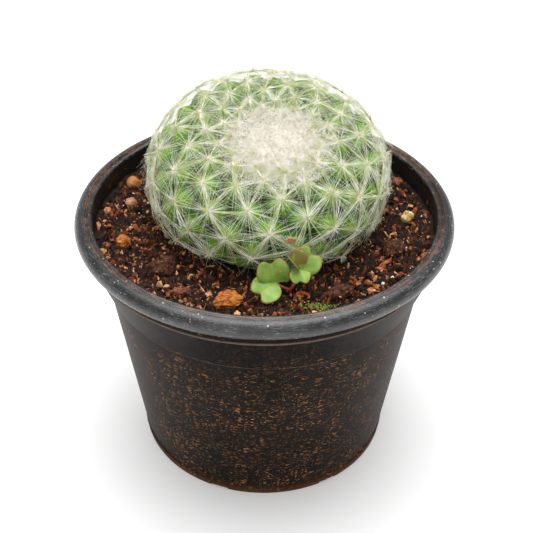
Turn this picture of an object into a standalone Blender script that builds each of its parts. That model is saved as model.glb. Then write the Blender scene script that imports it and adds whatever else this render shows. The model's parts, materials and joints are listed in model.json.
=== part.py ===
"""Potted feather cactus: a flattened globe under a net of white spines, leaning a little to the front,
with a wood-sorrel seedling beside it, in a black moulded plant pot.

Metres, +Z up, the front is -Y. The origin is the middle of the foot, on the surface the pot stands on.
"""

import math
import random

import bmesh
import bpy
from mathutils import Matrix, Vector, noise

MM = 0.001
SEAT_GAP = 0.3 * MM

# Pot
RIM_RADIUS = 50.0 * MM
POT_HEIGHT = 72.6 * MM
ROLL_RADIUS = 2.6 * MM
MOUTH_RADIUS = 45.3 * MM
COLLAR_RADIUS = 47.0 * MM
COLLAR_TOP = 65.4 * MM
KINK_RADIUS = 42.3 * MM
KINK_HEIGHT = 52.9 * MM
FOOT_RADIUS = 34.6 * MM
FOOT_BAND_HEIGHT = 2.6 * MM
FOOT_RING_WIDTH = 2.0 * MM
FLOOR_UNDERSIDE = 2.0 * MM
WALL = 1.3 * MM
LEDGE = 0.3 * MM
LEDGE_RISE = 0.3 * MM
FOOT_ROUNDING = 0.4 * MM
FOOT_EDGE_HEIGHT = 0.5 * MM
COLLAR_LIP_HEIGHT = 1.2 * MM
GROOVE_INSET = 3.05 * MM
GROOVE_DEPTH = 0.6 * MM
BEAD_DROP = 0.05 * MM
BEAD_OUTER_EDGE = 0.4 * MM
BEAD_INNER_EDGE = 1.1 * MM
MOUTH_CHAMFER = 0.5 * MM
FLOOR_FILLET = 0.8 * MM
POT_SIDES = 48
DRAIN_HOLES = 6
DRAIN_HOLE_RADIUS = 3.0 * MM
DRAIN_CIRCLE_RADIUS = 21.0 * MM
DRAIN_HOLE_SIDES = 12
CUTTER_OVERSHOOT = 1.5 * MM
FOOT_NOTCHES = 7
FOOT_NOTCH_WIDTH = 5.0 * MM
FOOT_NOTCH_HEIGHT = 1.6 * MM
FIRST_NOTCH_ANGLE = math.radians(-59.0)

# Soil
SOIL_LEVEL_AT_PLANT = 65.4 * MM
SOIL_LEVEL_AT_WALL = 66.6 * MM
SOIL_LUMP_SIZE = 7.0 * MM
SOIL_LUMP_HEIGHT = 1.1 * MM
SOIL_RINGS = 8
SOIL_RING_CROWDING = 0.72
SOIL_WALL_GAP = 1.2 * SEAT_GAP
FINE_LUMP_FREQUENCY = 2.3
FINE_LUMP_SHARE = 0.45
FINE_LUMP_LAYER = 0.05
CALM_SOIL_SHARE = 0.35
CALM_SOIL_RADIUS = 24.0 * MM
ROUGH_SOIL_RADIUS = 34.0 * MM
LEVEL_SOIL_RADIUS = 26.0 * MM
MOAT_WIDTH = 1.0 * MM
MOAT_START = 8.0 * MM
MOAT_END = 11.0 * MM
RECESS_TOP = 6.0 * MM
RECESS_LID = 30.0 * MM
RECESS_SIDES = 40
RECESS_SEAT_GAP = 1.8 * SEAT_GAP

# Cactus globe, measured to the tips of its tubercles in a frame on its own axis
GLOBE_CENTRE = Vector((0.9, 5.8, 77.9)) * MM
LEAN_TO_FRONT = math.radians(14.5)
LEAN_TO_RIGHT = math.radians(1.5)
GLOBE_RADIUS = 31.3 * MM
CROWN_HEIGHT = 17.6 * MM
UNDERSIDE_DEPTH = 19.0 * MM
SHOULDER_FULLNESS = 3.2
UNDERSIDE_FULLNESS = 2.0
CROWN_DIMPLE_DEPTH = 3.0 * MM
CROWN_DIMPLE_RADIUS = 9.0 * MM
ROOT_RADIUS = 5.0 * MM
ROOT_DEPTH = 30.0 * MM
ROOT_FLARE_RADIUS = 16.0 * MM
ROOT_SIDES = 8
ROOT_CLEARANCE = 1.2 * MM
ROOT_END_CLEARANCE = 0.4 * MM

# Tubercles and areoles
GOLDEN_ANGLE = math.pi * (3.0 - math.sqrt(5.0))
FIRST_AREOLE_ANGLE = math.radians(353.5)
FULL_SPACING = 8.85 * MM
YOUNG_SPACING = 3.1 * MM
YOUNG_RADIUS = 2.9 * MM
FULL_GROWN_RADIUS = 27.2 * MM
LOWEST_AREOLE = 67.8 * MM
TUBERCLE_TOP_DROP = 0.85 * MM
TUBERCLE_TOP_RADIUS = 0.8 * MM
TUBERCLE_TOP_CORNERS = 6
VALLEY_SHARE_OF_SPACING = 0.34
SHALLOWEST_VALLEY = 1.5 * MM
BURIED_DROP = 2.6 * MM
LOWEST_FACING = -0.93
HEXAGON_SHARE = 0.866

# Spine net
STRAND_HALF_WIDTH = 0.3 * MM
STRAND_HALF_HEIGHT = 0.3 * MM
AREOLE_PEAK = 0.7 * MM
OUTER_FLANK = 1.3 * STRAND_HALF_WIDTH
LONGEST_STRAND = 16.0 * MM
NEEDLES_PER_AREOLE = 2
NEEDLE_LENGTH = 6.0 * MM
NEEDLE_BASE_RADIUS = 0.26 * MM
NEEDLE_RISE = math.radians(16.0)
NEEDLE_TURN_SPREAD = 0.2
NEEDLE_LENGTH_SHARES = (0.85, 1.1)
NEEDLE_ROOT_LIFT = 0.1 * MM
CROWN_TUFT_RADIUS = 8.4 * MM
CROWN_TUFT_RINGS = 4
CROWN_TUFT_SIDES = 20
CROWN_TUFT_HEIGHT = 0.7 * MM
CROWN_TUFT_SPIKE = 1.1 * MM
CROWN_TUFT_SPIKE_SHARES = (0.0, 0.4, 1.0)
CROWN_TUFT_EDGE_FALL = 0.6
CROWN_TUFT_OVERLAP = 1.5 * MM
SMALLEST_NEEDLED_SPACING = 4.0 * MM
NEEDLE_ROOT_SINK = 0.15 * MM
NEEDLE_SEED = 11
TUFT_SEED = 5
SEEDLING_MIDDLE = Vector((6.0, -27.0, 72.0)) * MM
SEEDLING_REACH = 12.0 * MM
BUD_REACH = 4.5 * MM

# Dried bud
BUD_DIRECTION = Vector((0.173, -0.934, 0.312))
BUD_SIZE = Vector((1.5, 0.75, 1.0)) * MM
BUD_STAND_OFF = 0.75 * MM
BUD_CORNERS = 14
BUD_SEED = 3

# Wood-sorrel seedling
LEAF_THICKNESS = 0.6 * MM
LEAFLET_FAN_STEPS = 10
LEAFLET_RINGS = 2
LEAFLET_HALF_FAN = math.radians(84.0)
LEAFLET_TAPER = 1.1
LEAFLET_DROOP = 0.12
NOTCH_DEPTH = 0.22
NOTCH_HALF_ANGLE = 0.30
HUB_RADIUS = 0.62 * MM
STEM_RADIUS = 0.42 * MM
SORREL_ROOT = Vector((5.9, -28.6, 60.5)) * MM
SORREL_FORK = Vector((6.4, -29.0, 67.5)) * MM
LEFT_HUB = Vector((2.9, -28.6, 69.2)) * MM
RIGHT_HUB = Vector((8.5, -27.6, 72.7)) * MM
SORREL_HOLE_RADIUS = 1.0 * MM
SORREL_HOLE_OVERSHOOT = 5.0 * MM
PETIOLE_RADIUS = 0.85 * STEM_RADIUS
PETIOLE_SINK = 0.2 * MM
TRUNK_BOW = Vector((0.3, 0.0, 0.0)) * MM
LEFT_PETIOLE_BOW = Vector((-0.2, -0.3, 0.1)) * MM
RIGHT_PETIOLE_BOW = Vector((0.3, -0.5, -0.2)) * MM
# Each leaflet: length, the way its midrib runs, the way its upper face looks, fold along the midrib
LEFT_LEAFLETS = (
    (7.2 * MM, (-0.22, 0.10, 0.97), (0.0, -0.85, 0.50), math.radians(10.0)),
    (7.0 * MM, (-0.74, -0.66, -0.16), (-0.05, -0.50, 0.86), math.radians(8.0)),
    (4.4 * MM, (0.96, 0.02, 0.22), (0.10, 0.35, 0.93), math.radians(50.0)),
)
RIGHT_LEAFLETS = (
    (6.8 * MM, (0.62, 0.08, 0.78), (0.05, -0.80, 0.60), math.radians(9.0)),
    (4.6 * MM, (0.10, -0.80, -0.35), (0.10, -0.50, 0.86), math.radians(12.0)),
    (5.6 * MM, (-0.58, 0.22, 0.78), (0.60, -0.60, 0.40), math.radians(46.0)),
)

# Loose pieces on the soil: name, colour, place, size, turn in degrees and corner count, in millimetres
LUMP_SHOWING = 0.18
LUMP_ROOM = 1.5 * SEAT_GAP
FIRST_LUMP_SEED = 20
LOOSE_PIECES = (
    ("bark_chip", (0.46, 0.18, 0.06), (-8.8, -33.2), (8.6, 6.2, 4.2), 20.0, 20),
    ("bark_flake", (0.30, 0.10, 0.05), (-20.6, -28.6), (6.8, 3.4, 2.6), 12.0, 16),
    ("clay_ball", (0.27, 0.12, 0.06), (-36.6, 19.5), (4.4, 4.2, 4.0), 0.0, 26),
    ("pale_pebble", (0.34, 0.19, 0.13), (-36.6, 9.6), (4.4, 3.4, 3.0), 35.0, 18),
    ("pumice_chip", (0.50, 0.20, 0.07), (-37.0, -8.4), (4.8, 4.0, 3.2), 70.0, 18),
    ("clod_left", (0.09, 0.045, 0.025), (-25.8, -19.6), (8.4, 8.0, 5.2), 0.0, 24),
    ("clod_right", (0.12, 0.06, 0.04), (33.4, -10.6), (7.0, 7.4, 5.0), 30.0, 24),
    ("clod_front", (0.14, 0.075, 0.05), (18.8, -30.0), (7.2, 5.6, 3.8), 15.0, 22),
    ("pale_shard", (0.50, 0.40, 0.20), (38.4, 3.2), (5.0, 4.0, 3.0), 60.0, 16),
    ("red_chip", (0.28, 0.09, 0.04), (37.2, 21.0), (4.0, 3.4, 3.0), 10.0, 16),
)


def clear_scene():
    for old in list(bpy.data.objects):
        bpy.data.objects.remove(old, do_unlink=True)


def principled(name, colour, roughness, metallic=0.0):
    material = bpy.data.materials.new(name)
    material.use_nodes = True
    shader = material.node_tree.nodes["Principled BSDF"]
    shader.inputs["Base Color"].default_value = (*colour, 1.0)
    shader.inputs["Roughness"].default_value = roughness
    shader.inputs["Metallic"].default_value = metallic
    material.diffuse_color = (*colour, 1.0)
    return material


def add_object(name, mesh, material):
    mesh.materials.clear()
    mesh.materials.append(material)
    piece = bpy.data.objects.new(name, mesh)
    bpy.context.scene.collection.objects.link(piece)
    return piece


def mesh_from(name, points, faces):
    """A mesh of these points and faces, with its faces turned outwards."""
    form = bmesh.new()
    corners = [form.verts.new(point) for point in points]
    for face in faces:
        form.faces.new([corners[index] for index in face])
    bmesh.ops.recalc_face_normals(form, faces=form.faces)
    mesh = bpy.data.meshes.new(name)
    form.to_mesh(mesh)
    form.free()
    return mesh


def round_off(piece, degrees=35.0):
    piece.data.shade_smooth()
    piece.data.set_sharp_from_angle(angle=math.radians(degrees))


def turn_profile(name, profile, sides):
    """A closed solid turned about Z from (radius, height) points that start and end on the axis."""
    points = [(0.0, 0.0, profile[0][1])]
    for radius, height in profile[1:-1]:
        for side in range(sides):
            angle = 2.0 * math.pi * side / sides
            points.append((radius * math.cos(angle), radius * math.sin(angle), height))
    points.append((0.0, 0.0, profile[-1][1]))
    rings = len(profile) - 2
    last = len(points) - 1
    faces = []
    for side in range(sides):
        following = (side + 1) % sides
        faces.append((0, 1 + side, 1 + following))
        for ring in range(rings - 1):
            low = 1 + ring * sides
            high = low + sides
            faces.append((low + side, high + side, high + following, low + following))
        top = 1 + (rings - 1) * sides
        faces.append((last, top + following, top + side))
    return mesh_from(name, points, faces)


def as_cutter(piece):
    piece.hide_render = True
    piece.display_type = "WIRE"
    return piece


def apply_booleans(piece):
    """Bakes the modifiers into the mesh and removes every helper object that they used."""
    bpy.context.view_layer.update()
    graph = bpy.context.evaluated_depsgraph_get()
    baked = bpy.data.meshes.new_from_object(piece.evaluated_get(graph))
    baked.name = piece.name
    helpers = []
    for modifier in piece.modifiers:
        if modifier.operand_type == "OBJECT":
            helpers.append(modifier.object)
        else:
            helpers.extend(modifier.collection.objects)
    piece.modifiers.clear()
    piece.data = baked
    for helper in helpers:
        bpy.data.objects.remove(helper, do_unlink=True)


def boolean_with(piece, helpers, operation, solver="EXACT"):
    """Joins or cuts with one Boolean on a collection of the helpers, and applies it."""
    group = bpy.data.collections.new(piece.name + "_helpers")
    bpy.context.scene.collection.children.link(group)
    for helper in helpers:
        for owner in list(helper.users_collection):
            owner.objects.unlink(helper)
        group.objects.link(as_cutter(helper))
    modifier = piece.modifiers.new(operation.title(), "BOOLEAN")
    modifier.operation = operation
    modifier.operand_type = "COLLECTION"
    modifier.collection = group
    modifier.solver = solver
    apply_booleans(piece)
    bpy.data.collections.remove(group)


def bud_centre():
    """On the front of the globe, just outside the strands."""
    return globe_surface_point(BUD_DIRECTION, BUD_STAND_OFF)


def globe_surface_point(direction, stand_off):
    """The world point of the globe in this direction of its own frame, raised above the tips."""
    direction = direction.normalized()
    steep = math.atan2(direction.z, math.hypot(direction.x, direction.y))

    def miss(row):
        return abs(math.atan2(row[1], row[0]) - steep)

    radius, height = min(globe_profile(), key=miss)
    reach = math.hypot(radius, height) + stand_off
    return globe_frame() @ (direction * reach)


def ease(value, low, high):
    share = min(max((value - low) / (high - low), 0.0), 1.0)
    return share * share * (3.0 - 2.0 * share)


# Pot

def inner_wall_radius(height):
    """Radius of the pot's inside at this height, from its floor to its mouth."""
    kink = KINK_RADIUS - WALL
    if height < KINK_HEIGHT:
        foot = FOOT_RADIUS - WALL
        return foot + (kink - foot) * height / KINK_HEIGHT
    share = min((height - KINK_HEIGHT) / (COLLAR_TOP - KINK_HEIGHT), 1.0)
    return kink + (MOUTH_RADIUS - kink) * share


def rim_roll_points(steps=6):
    """The rolled rim, from its underside round the outside to the edge of the groove on its top."""
    middle = Vector((RIM_RADIUS - ROLL_RADIUS, POT_HEIGHT - ROLL_RADIUS))
    points = []
    for step in range(steps + 1):
        angle = math.radians(-95.0 + 190.0 * step / steps)
        offset = Vector((math.cos(angle), math.sin(angle))) * ROLL_RADIUS
        points.append(tuple(middle + offset))
    return points


def pot_profile():
    floor = FLOOR_UNDERSIDE + WALL
    groove = RIM_RADIUS - GROOVE_INSET
    foot_inside = FOOT_RADIUS - FOOT_RING_WIDTH
    outside = [
        (0.0, FLOOR_UNDERSIDE),
        (foot_inside, FLOOR_UNDERSIDE),
        (foot_inside + LEDGE, 0.0),
        (FOOT_RADIUS - FOOT_ROUNDING, 0.0),
        (FOOT_RADIUS, FOOT_EDGE_HEIGHT),
        (FOOT_RADIUS + LEDGE, FOOT_BAND_HEIGHT),
        (FOOT_RADIUS + 0.2 * LEDGE, FOOT_BAND_HEIGHT + LEDGE_RISE),
        (KINK_RADIUS, KINK_HEIGHT),
        (KINK_RADIUS + LEDGE, KINK_HEIGHT + LEDGE_RISE),
        (COLLAR_RADIUS, COLLAR_TOP),
        (COLLAR_RADIUS + LEDGE, COLLAR_TOP + LEDGE_RISE),
        (COLLAR_RADIUS + LEDGE, COLLAR_TOP + COLLAR_LIP_HEIGHT),
    ]
    groove_and_bead = [
        (groove, POT_HEIGHT - GROOVE_DEPTH),
        (groove - BEAD_OUTER_EDGE, POT_HEIGHT - BEAD_DROP),
        (groove - BEAD_INNER_EDGE, POT_HEIGHT - BEAD_DROP),
        (MOUTH_RADIUS + 0.2 * MOUTH_CHAMFER, POT_HEIGHT - MOUTH_CHAMFER),
        (MOUTH_RADIUS, POT_HEIGHT - MOUTH_CHAMFER - GROOVE_DEPTH),
    ]
    inside = [
        (MOUTH_RADIUS, COLLAR_TOP),
        (KINK_RADIUS - WALL, KINK_HEIGHT),
        (inner_wall_radius(floor + FLOOR_FILLET), floor + FLOOR_FILLET),
        (inner_wall_radius(floor) - FLOOR_FILLET, floor),
        (0.0, floor),
    ]
    return outside + rim_roll_points() + groove_and_bead + inside


def drain_cutters():
    cutters = []
    low = FLOOR_UNDERSIDE - CUTTER_OVERSHOOT
    high = FLOOR_UNDERSIDE + WALL + CUTTER_OVERSHOOT
    profile = [(0.0, low), (DRAIN_HOLE_RADIUS, low), (DRAIN_HOLE_RADIUS, high), (0.0, high)]
    for index in range(DRAIN_HOLES):
        angle = 2.0 * math.pi * index / DRAIN_HOLES
        drill = turn_profile("drain_drill", profile, DRAIN_HOLE_SIDES)
        drill.transform(
            Matrix.Translation(
                (DRAIN_CIRCLE_RADIUS * math.cos(angle), DRAIN_CIRCLE_RADIUS * math.sin(angle), 0.0)
            )
        )
        cutters.append(add_object("drain_drill", drill, bpy.data.materials["pot_plastic"]))
    return cutters


def notch_cutters():
    cutters = []
    for index in range(FOOT_NOTCHES):
        angle = FIRST_NOTCH_ANGLE + 2.0 * math.pi * index / FOOT_NOTCHES
        form = bmesh.new()
        depth = 2.0 * FOOT_RING_WIDTH + CUTTER_OVERSHOOT
        size = Vector((depth, FOOT_NOTCH_WIDTH, 2.0 * FOOT_NOTCH_HEIGHT))
        bmesh.ops.create_cube(form, size=1.0, matrix=Matrix.Diagonal((*size, 1.0)))
        mesh = bpy.data.meshes.new("notch_cutter")
        form.to_mesh(mesh)
        form.free()
        place = Matrix.Rotation(angle, 4, "Z") @ Matrix.Translation((FOOT_RADIUS, 0.0, 0.0))
        mesh.transform(place)
        cutters.append(add_object("notch_cutter", mesh, bpy.data.materials["pot_plastic"]))
    return cutters


def make_pot():
    plastic = principled("pot_plastic", (0.012, 0.012, 0.013), 0.42)
    pot = add_object("pot", turn_profile("pot", pot_profile(), POT_SIDES), plastic)
    boolean_with(pot, drain_cutters() + notch_cutters(), "DIFFERENCE")
    round_off(pot, 30.0)
    return pot


# Globe

def signed_power(value, exponent):
    return math.copysign(abs(value) ** exponent, value)


def globe_profile(steps=360):
    """(radius, height) from the crown to the underside, in the globe's own frame, at the tubercle tips."""
    profile = []
    for step in range(steps + 1):
        angle = math.pi / 2.0 - math.pi * step / steps
        above = angle >= 0.0
        fullness = SHOULDER_FULLNESS if above else UNDERSIDE_FULLNESS
        half_height = CROWN_HEIGHT if above else UNDERSIDE_DEPTH
        radius = GLOBE_RADIUS * max(math.cos(angle), 0.0) ** (2.0 / fullness)
        height = half_height * signed_power(math.sin(angle), 2.0 / fullness)
        if above:
            height -= CROWN_DIMPLE_DEPTH * math.exp(-((radius / CROWN_DIMPLE_RADIUS) ** 2))
        profile.append((radius, height))
    return profile


def globe_frame():
    """From the globe's own frame to the world."""
    lean = Matrix.Rotation(LEAN_TO_RIGHT, 4, "Y") @ Matrix.Rotation(LEAN_TO_FRONT, 4, "X")
    return Matrix.Translation(GLOBE_CENTRE) @ lean


def spacing_at(radius, height):
    if height < 0.0:
        return FULL_SPACING
    share = ease(radius, YOUNG_RADIUS, FULL_GROWN_RADIUS)
    return YOUNG_SPACING + (FULL_SPACING - YOUNG_SPACING) * share


def areole_places():
    """One (point, outward direction, spacing) for each areole, on a golden-angle spiral from the crown.

    The spiral steps by area: each areole takes the patch of skin that its spacing asks for.
    """
    profile = globe_profile()
    places = []
    counted = 0.0
    index = 0
    for (radius_a, height_a), (radius_b, height_b) in zip(profile, profile[1:]):
        radius = (radius_a + radius_b) / 2.0
        height = (height_a + height_b) / 2.0
        run = math.hypot(radius_b - radius_a, height_b - height_a)
        cell = HEXAGON_SHARE * spacing_at(radius, height) ** 2
        counted += 2.0 * math.pi * radius * run / cell
        while counted > index + 0.5:
            angle = FIRST_AREOLE_ANGLE - index * GOLDEN_ANGLE
            around = Vector((math.cos(angle), math.sin(angle), 0.0))
            outward = around * (height_a - height_b) / run
            outward.z = (radius_b - radius_a) / run
            point = around * radius
            point.z = height
            places.append((point, outward.normalized(), spacing_at(radius, height)))
            index += 1
    return places


def sphere_direction(point):
    """Where a point of the globe lies on a unit sphere, which keeps the order of its neighbours."""
    half_height = CROWN_HEIGHT if point.z > 0.0 else UNDERSIDE_DEPTH
    return Vector((point.x / GLOBE_RADIUS, point.y / GLOBE_RADIUS, point.z / half_height)).normalized()


def net_of(directions):
    """Triangles joining neighbours on the unit sphere, as index triples facing out."""
    form = bmesh.new()
    corners = [form.verts.new(direction) for direction in directions]
    index_of = {corner: index for index, corner in enumerate(corners)}
    hull = bmesh.ops.convex_hull(form, input=corners)
    triangles = []
    for face in hull["geom"]:
        if not isinstance(face, bmesh.types.BMFace):
            continue
        triple = [index_of[corner] for corner in face.verts]
        middle = face.calc_center_median()
        if face.normal.dot(middle) < 0.0:
            triple.reverse()
        triangles.append(tuple(triple))
    form.free()
    return triangles


def is_bare(place):
    """True where the globe has neither tubercles nor spines, because it meets the soil there."""
    point, outward, spacing = place
    return (globe_frame() @ point).z < LOWEST_AREOLE or outward.z < LOWEST_FACING


def tubercle_top(point, outward):
    """The corners of the small flat top of one tubercle."""
    side = outward.orthogonal().normalized()
    across = outward.cross(side)
    corners = []
    for corner in range(TUBERCLE_TOP_CORNERS):
        angle = 2.0 * math.pi * corner / TUBERCLE_TOP_CORNERS
        reach = (side * math.cos(angle) + across * math.sin(angle)) * TUBERCLE_TOP_RADIUS
        corners.append(point + reach)
    return corners


def make_cactus_stem(places, triangles):
    """The green body: each areole stands on a tubercle, with a valley in the middle of each three."""
    skin = []
    for place in places:
        point, outward, spacing = place
        if is_bare(place):
            skin.append((sphere_direction(point), point - outward * BURIED_DROP))
            continue
        for corner in tubercle_top(point, outward):
            skin.append((sphere_direction(corner), corner - outward * TUBERCLE_TOP_DROP))
    for triangle in triangles:
        three = [places[index] for index in triangle]
        if all(is_bare(place) for place in three):
            continue
        middle = sum((place[0] for place in three), Vector()) / 3.0
        outward = sum((place[1] for place in three), Vector()).normalized()
        depth = max(VALLEY_SHARE_OF_SPACING * sum(place[2] for place in three) / 3.0, SHALLOWEST_VALLEY)
        skin.append((sphere_direction(middle), middle - outward * depth))
    for corner in range(ROOT_SIDES):
        angle = 2.0 * math.pi * corner / ROOT_SIDES
        point = Vector((ROOT_RADIUS * math.cos(angle), ROOT_RADIUS * math.sin(angle), -ROOT_DEPTH))
        skin.append((sphere_direction(point), point))
    faces = net_of([direction for direction, point in skin])
    mesh = mesh_from("cactus_stem", [point for direction, point in skin], faces)
    mesh.transform(globe_frame())
    green = principled("cactus_skin", (0.16, 0.36, 0.05), 0.5)
    stem = add_object("cactus_stem", mesh, green)
    round_off(stem, 75.0)
    return stem


# Spine net

def under_tuft(point):
    return point.z > 0.0 and math.hypot(point.x, point.y) < CROWN_TUFT_RADIUS - CROWN_TUFT_OVERLAP


def kept_net_triangles(places, triangles):
    """The triangles of the net, without those in the soil, under the tuft or joined at one corner only."""
    kept = []
    for triangle in triangles:
        three = [places[index] for index in triangle]
        sides = [(three[corner][0] - three[corner - 1][0]).length for corner in range(3)]
        hidden = all(under_tuft(place[0]) for place in three)
        if not hidden and max(sides) < LONGEST_STRAND and not any(is_bare(place) for place in three):
            kept.append(triangle)
    while True:
        rim_ends = [end for edge in border_edges(kept) for end in edge]
        pinched = {index for index in rim_ends if rim_ends.count(index) > 2}
        if not pinched:
            return kept
        kept = [triangle for triangle in kept if not pinched & set(triangle)]


def border_edges(triangles):
    """The directed edges that have a triangle on one side only."""
    edges = {(three[corner - 1], three[corner]) for three in triangles for corner in range(3)}
    return {(start, end) for start, end in edges if (end, start) not in edges}


def net_lattice(places, kept):
    """The strands that join each areole to its neighbours, as one lattice with a diamond section."""
    points = []
    faces = []
    top_of = {}
    bottom_of = {}
    for index in sorted({index for triangle in kept for index in triangle}):
        point, outward, spacing = places[index]
        top_of[index] = len(points)
        points.append(point + outward * AREOLE_PEAK)
        bottom_of[index] = len(points)
        points.append(point - outward * STRAND_HALF_HEIGHT)

    def strand_side(start, end, start_flank, end_flank):
        faces.append((top_of[start], top_of[end], end_flank, start_flank))
        faces.append((bottom_of[end], bottom_of[start], start_flank, end_flank))

    for triangle in kept:
        three = [places[index][0] for index in triangle]
        flanks = []
        for corner in range(3):
            here = three[corner]
            to_next = (three[(corner + 1) % 3] - here).normalized()
            to_last = (three[corner - 1] - here).normalized()
            reach = STRAND_HALF_WIDTH / math.sin(to_next.angle(to_last) / 2.0)
            flanks.append(len(points))
            points.append(here + (to_next + to_last).normalized() * reach)
        for corner in range(3):
            following = (corner + 1) % 3
            strand_side(triangle[corner], triangle[following], flanks[corner], flanks[following])

    border = border_edges(kept)
    outer_of = {}
    for index in sorted({end for edge in border for end in edge}):
        neighbours = {other for triangle in kept if index in triangle for other in triangle} - {index}
        here = places[index][0]
        inward = sum(((places[other][0] - here).normalized() for other in sorted(neighbours)), Vector())
        outer_of[index] = len(points)
        points.append(here - inward.normalized() * OUTER_FLANK)
    for start, end in sorted(border):
        strand_side(end, start, outer_of[end], outer_of[start])
    return points, faces


def needle_mesh(name, root, direction, length, radius):
    """A three-sided needle, closed at its root and pointed at its tip."""
    side = direction.orthogonal().normalized()
    across = direction.cross(side)
    points = []
    for corner in range(3):
        angle = 2.0 * math.pi * corner / 3
        points.append(root + (side * math.cos(angle) + across * math.sin(angle)) * radius)
    points.append(root + direction * length)
    return mesh_from(name, points, [(0, 2, 1), (0, 1, 3), (1, 2, 3), (2, 0, 3)])


def free_needles(places, kept, frame, material):
    """Needles that stand a little off the net, turned to the gaps between its strands."""
    draw = random.Random(NEEDLE_SEED)
    needles = []
    for index in sorted({index for triangle in kept for index in triangle}):
        point, outward, spacing = places[index]
        if spacing < SMALLEST_NEEDLED_SPACING or under_tuft(point):
            continue
        side = outward.orthogonal().normalized()
        across = outward.cross(side)
        first = draw.uniform(0.0, 2.0 * math.pi)
        for step in range(NEEDLES_PER_AREOLE):
            jitter = draw.uniform(-NEEDLE_TURN_SPREAD, NEEDLE_TURN_SPREAD)
            angle = first + 2.0 * math.pi * (step + jitter) / NEEDLES_PER_AREOLE
            along = side * math.cos(angle) + across * math.sin(angle)
            direction = (along * math.cos(NEEDLE_RISE) + outward * math.sin(NEEDLE_RISE)).normalized()
            length = NEEDLE_LENGTH * spacing / FULL_SPACING * draw.uniform(*NEEDLE_LENGTH_SHARES)
            root = point - direction * NEEDLE_ROOT_SINK + outward * NEEDLE_ROOT_LIFT
            tip = frame @ (root + direction * length)
            if not needle_is_clear(tip):
                continue
            mesh = needle_mesh("needle", root, direction, length, NEEDLE_BASE_RADIUS)
            needles.append(add_object("needle", mesh, material))
    return needles


def needle_is_clear(tip):
    """True where the tip stays off the soil, the pot, the seedling and the dried bud."""
    near_seedling = (tip - SEEDLING_MIDDLE).length < SEEDLING_REACH
    near_bud = (tip - bud_centre()).length < BUD_REACH
    return tip.z > LOWEST_AREOLE and not near_seedling and not near_bud


def crown_tuft_mesh():
    """The dense tuft on the crown: a low cushion whose top stands up in short spikes."""
    draw = random.Random(TUFT_SEED)
    profile = [row for row in globe_profile() if row[1] > 0.0]

    def skin_point(radius, angle, lift):
        height = min(profile, key=lambda row: abs(row[0] - radius))[1]
        return Vector((radius * math.cos(angle), radius * math.sin(angle), height + lift))

    points = [skin_point(0.0, 0.0, CROWN_TUFT_HEIGHT), skin_point(0.0, 0.0, -STRAND_HALF_HEIGHT)]
    faces = []
    for ring in range(CROWN_TUFT_RINGS):
        radius = CROWN_TUFT_RADIUS * (ring + 1) / CROWN_TUFT_RINGS
        fall = 1.0 - CROWN_TUFT_EDGE_FALL * ((ring + 1) / CROWN_TUFT_RINGS) ** 2
        for side in range(CROWN_TUFT_SIDES):
            angle = 2.0 * math.pi * (side + 0.5 * (ring % 2)) / CROWN_TUFT_SIDES
            spike = CROWN_TUFT_SPIKE * draw.choice(CROWN_TUFT_SPIKE_SHARES)
            points.append(skin_point(radius, angle, CROWN_TUFT_HEIGHT * fall + spike * fall))
    under = len(points)
    for side in range(CROWN_TUFT_SIDES):
        angle = 2.0 * math.pi * (side + 0.5 * ((CROWN_TUFT_RINGS - 1) % 2)) / CROWN_TUFT_SIDES
        points.append(skin_point(CROWN_TUFT_RADIUS, angle, -STRAND_HALF_HEIGHT))
    for side in range(CROWN_TUFT_SIDES):
        following = (side + 1) % CROWN_TUFT_SIDES
        faces.append((0, 2 + side, 2 + following))
        for ring in range(CROWN_TUFT_RINGS - 1):
            low = 2 + ring * CROWN_TUFT_SIDES
            high = low + CROWN_TUFT_SIDES
            if ring % 2:
                faces.append((low + side, high + side, low + following))
                faces.append((high + side, high + following, low + following))
            else:
                faces.append((low + side, high + side, high + following))
                faces.append((low + side, high + following, low + following))
        edge = 2 + (CROWN_TUFT_RINGS - 1) * CROWN_TUFT_SIDES
        faces.append((edge + side, under + side, under + following, edge + following))
        faces.append((1, under + following, under + side))
    return mesh_from("crown_tuft", points, faces)


def make_spine_net(places, triangles):
    """Strands, free needles and the crown tuft, joined in one white body."""
    kept = kept_net_triangles(places, triangles)
    white = principled("white_spine", (0.82, 0.81, 0.74), 0.55)
    net = add_object("spine_net", mesh_from("spine_net", *net_lattice(places, kept)), white)
    tuft = add_object("crown_tuft", crown_tuft_mesh(), white)
    needles = free_needles(places, kept, globe_frame(), white)
    boolean_with(net, [tuft] + needles, "UNION", "MANIFOLD")
    net.data.transform(globe_frame())
    return net


# Dried bud

def lump_mesh(name, size, corner_count, seed, squareness=0.35):
    """A rough convex lump that fills an ellipsoid of these half sizes."""
    draw = random.Random(seed)
    form = bmesh.new()
    for index in range(corner_count):
        height = 1.0 - 2.0 * (index + 0.5) / corner_count
        around = index * GOLDEN_ANGLE + draw.uniform(-0.35, 0.35)
        reach = math.sqrt(1.0 - height * height)
        point = Vector((reach * math.cos(around), reach * math.sin(around), height))
        point *= 1.0 + squareness * draw.uniform(-0.5, 0.5)
        form.verts.new((point.x * size.x, point.y * size.y, point.z * size.z))
    hull = bmesh.ops.convex_hull(form, input=form.verts)
    inside = [item for item in hull["geom_interior"] if isinstance(item, bmesh.types.BMVert)]
    bmesh.ops.delete(form, geom=inside, context="VERTS")
    bmesh.ops.recalc_face_normals(form, faces=form.faces)
    mesh = bpy.data.meshes.new(name)
    form.to_mesh(mesh)
    form.free()
    return mesh


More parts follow.
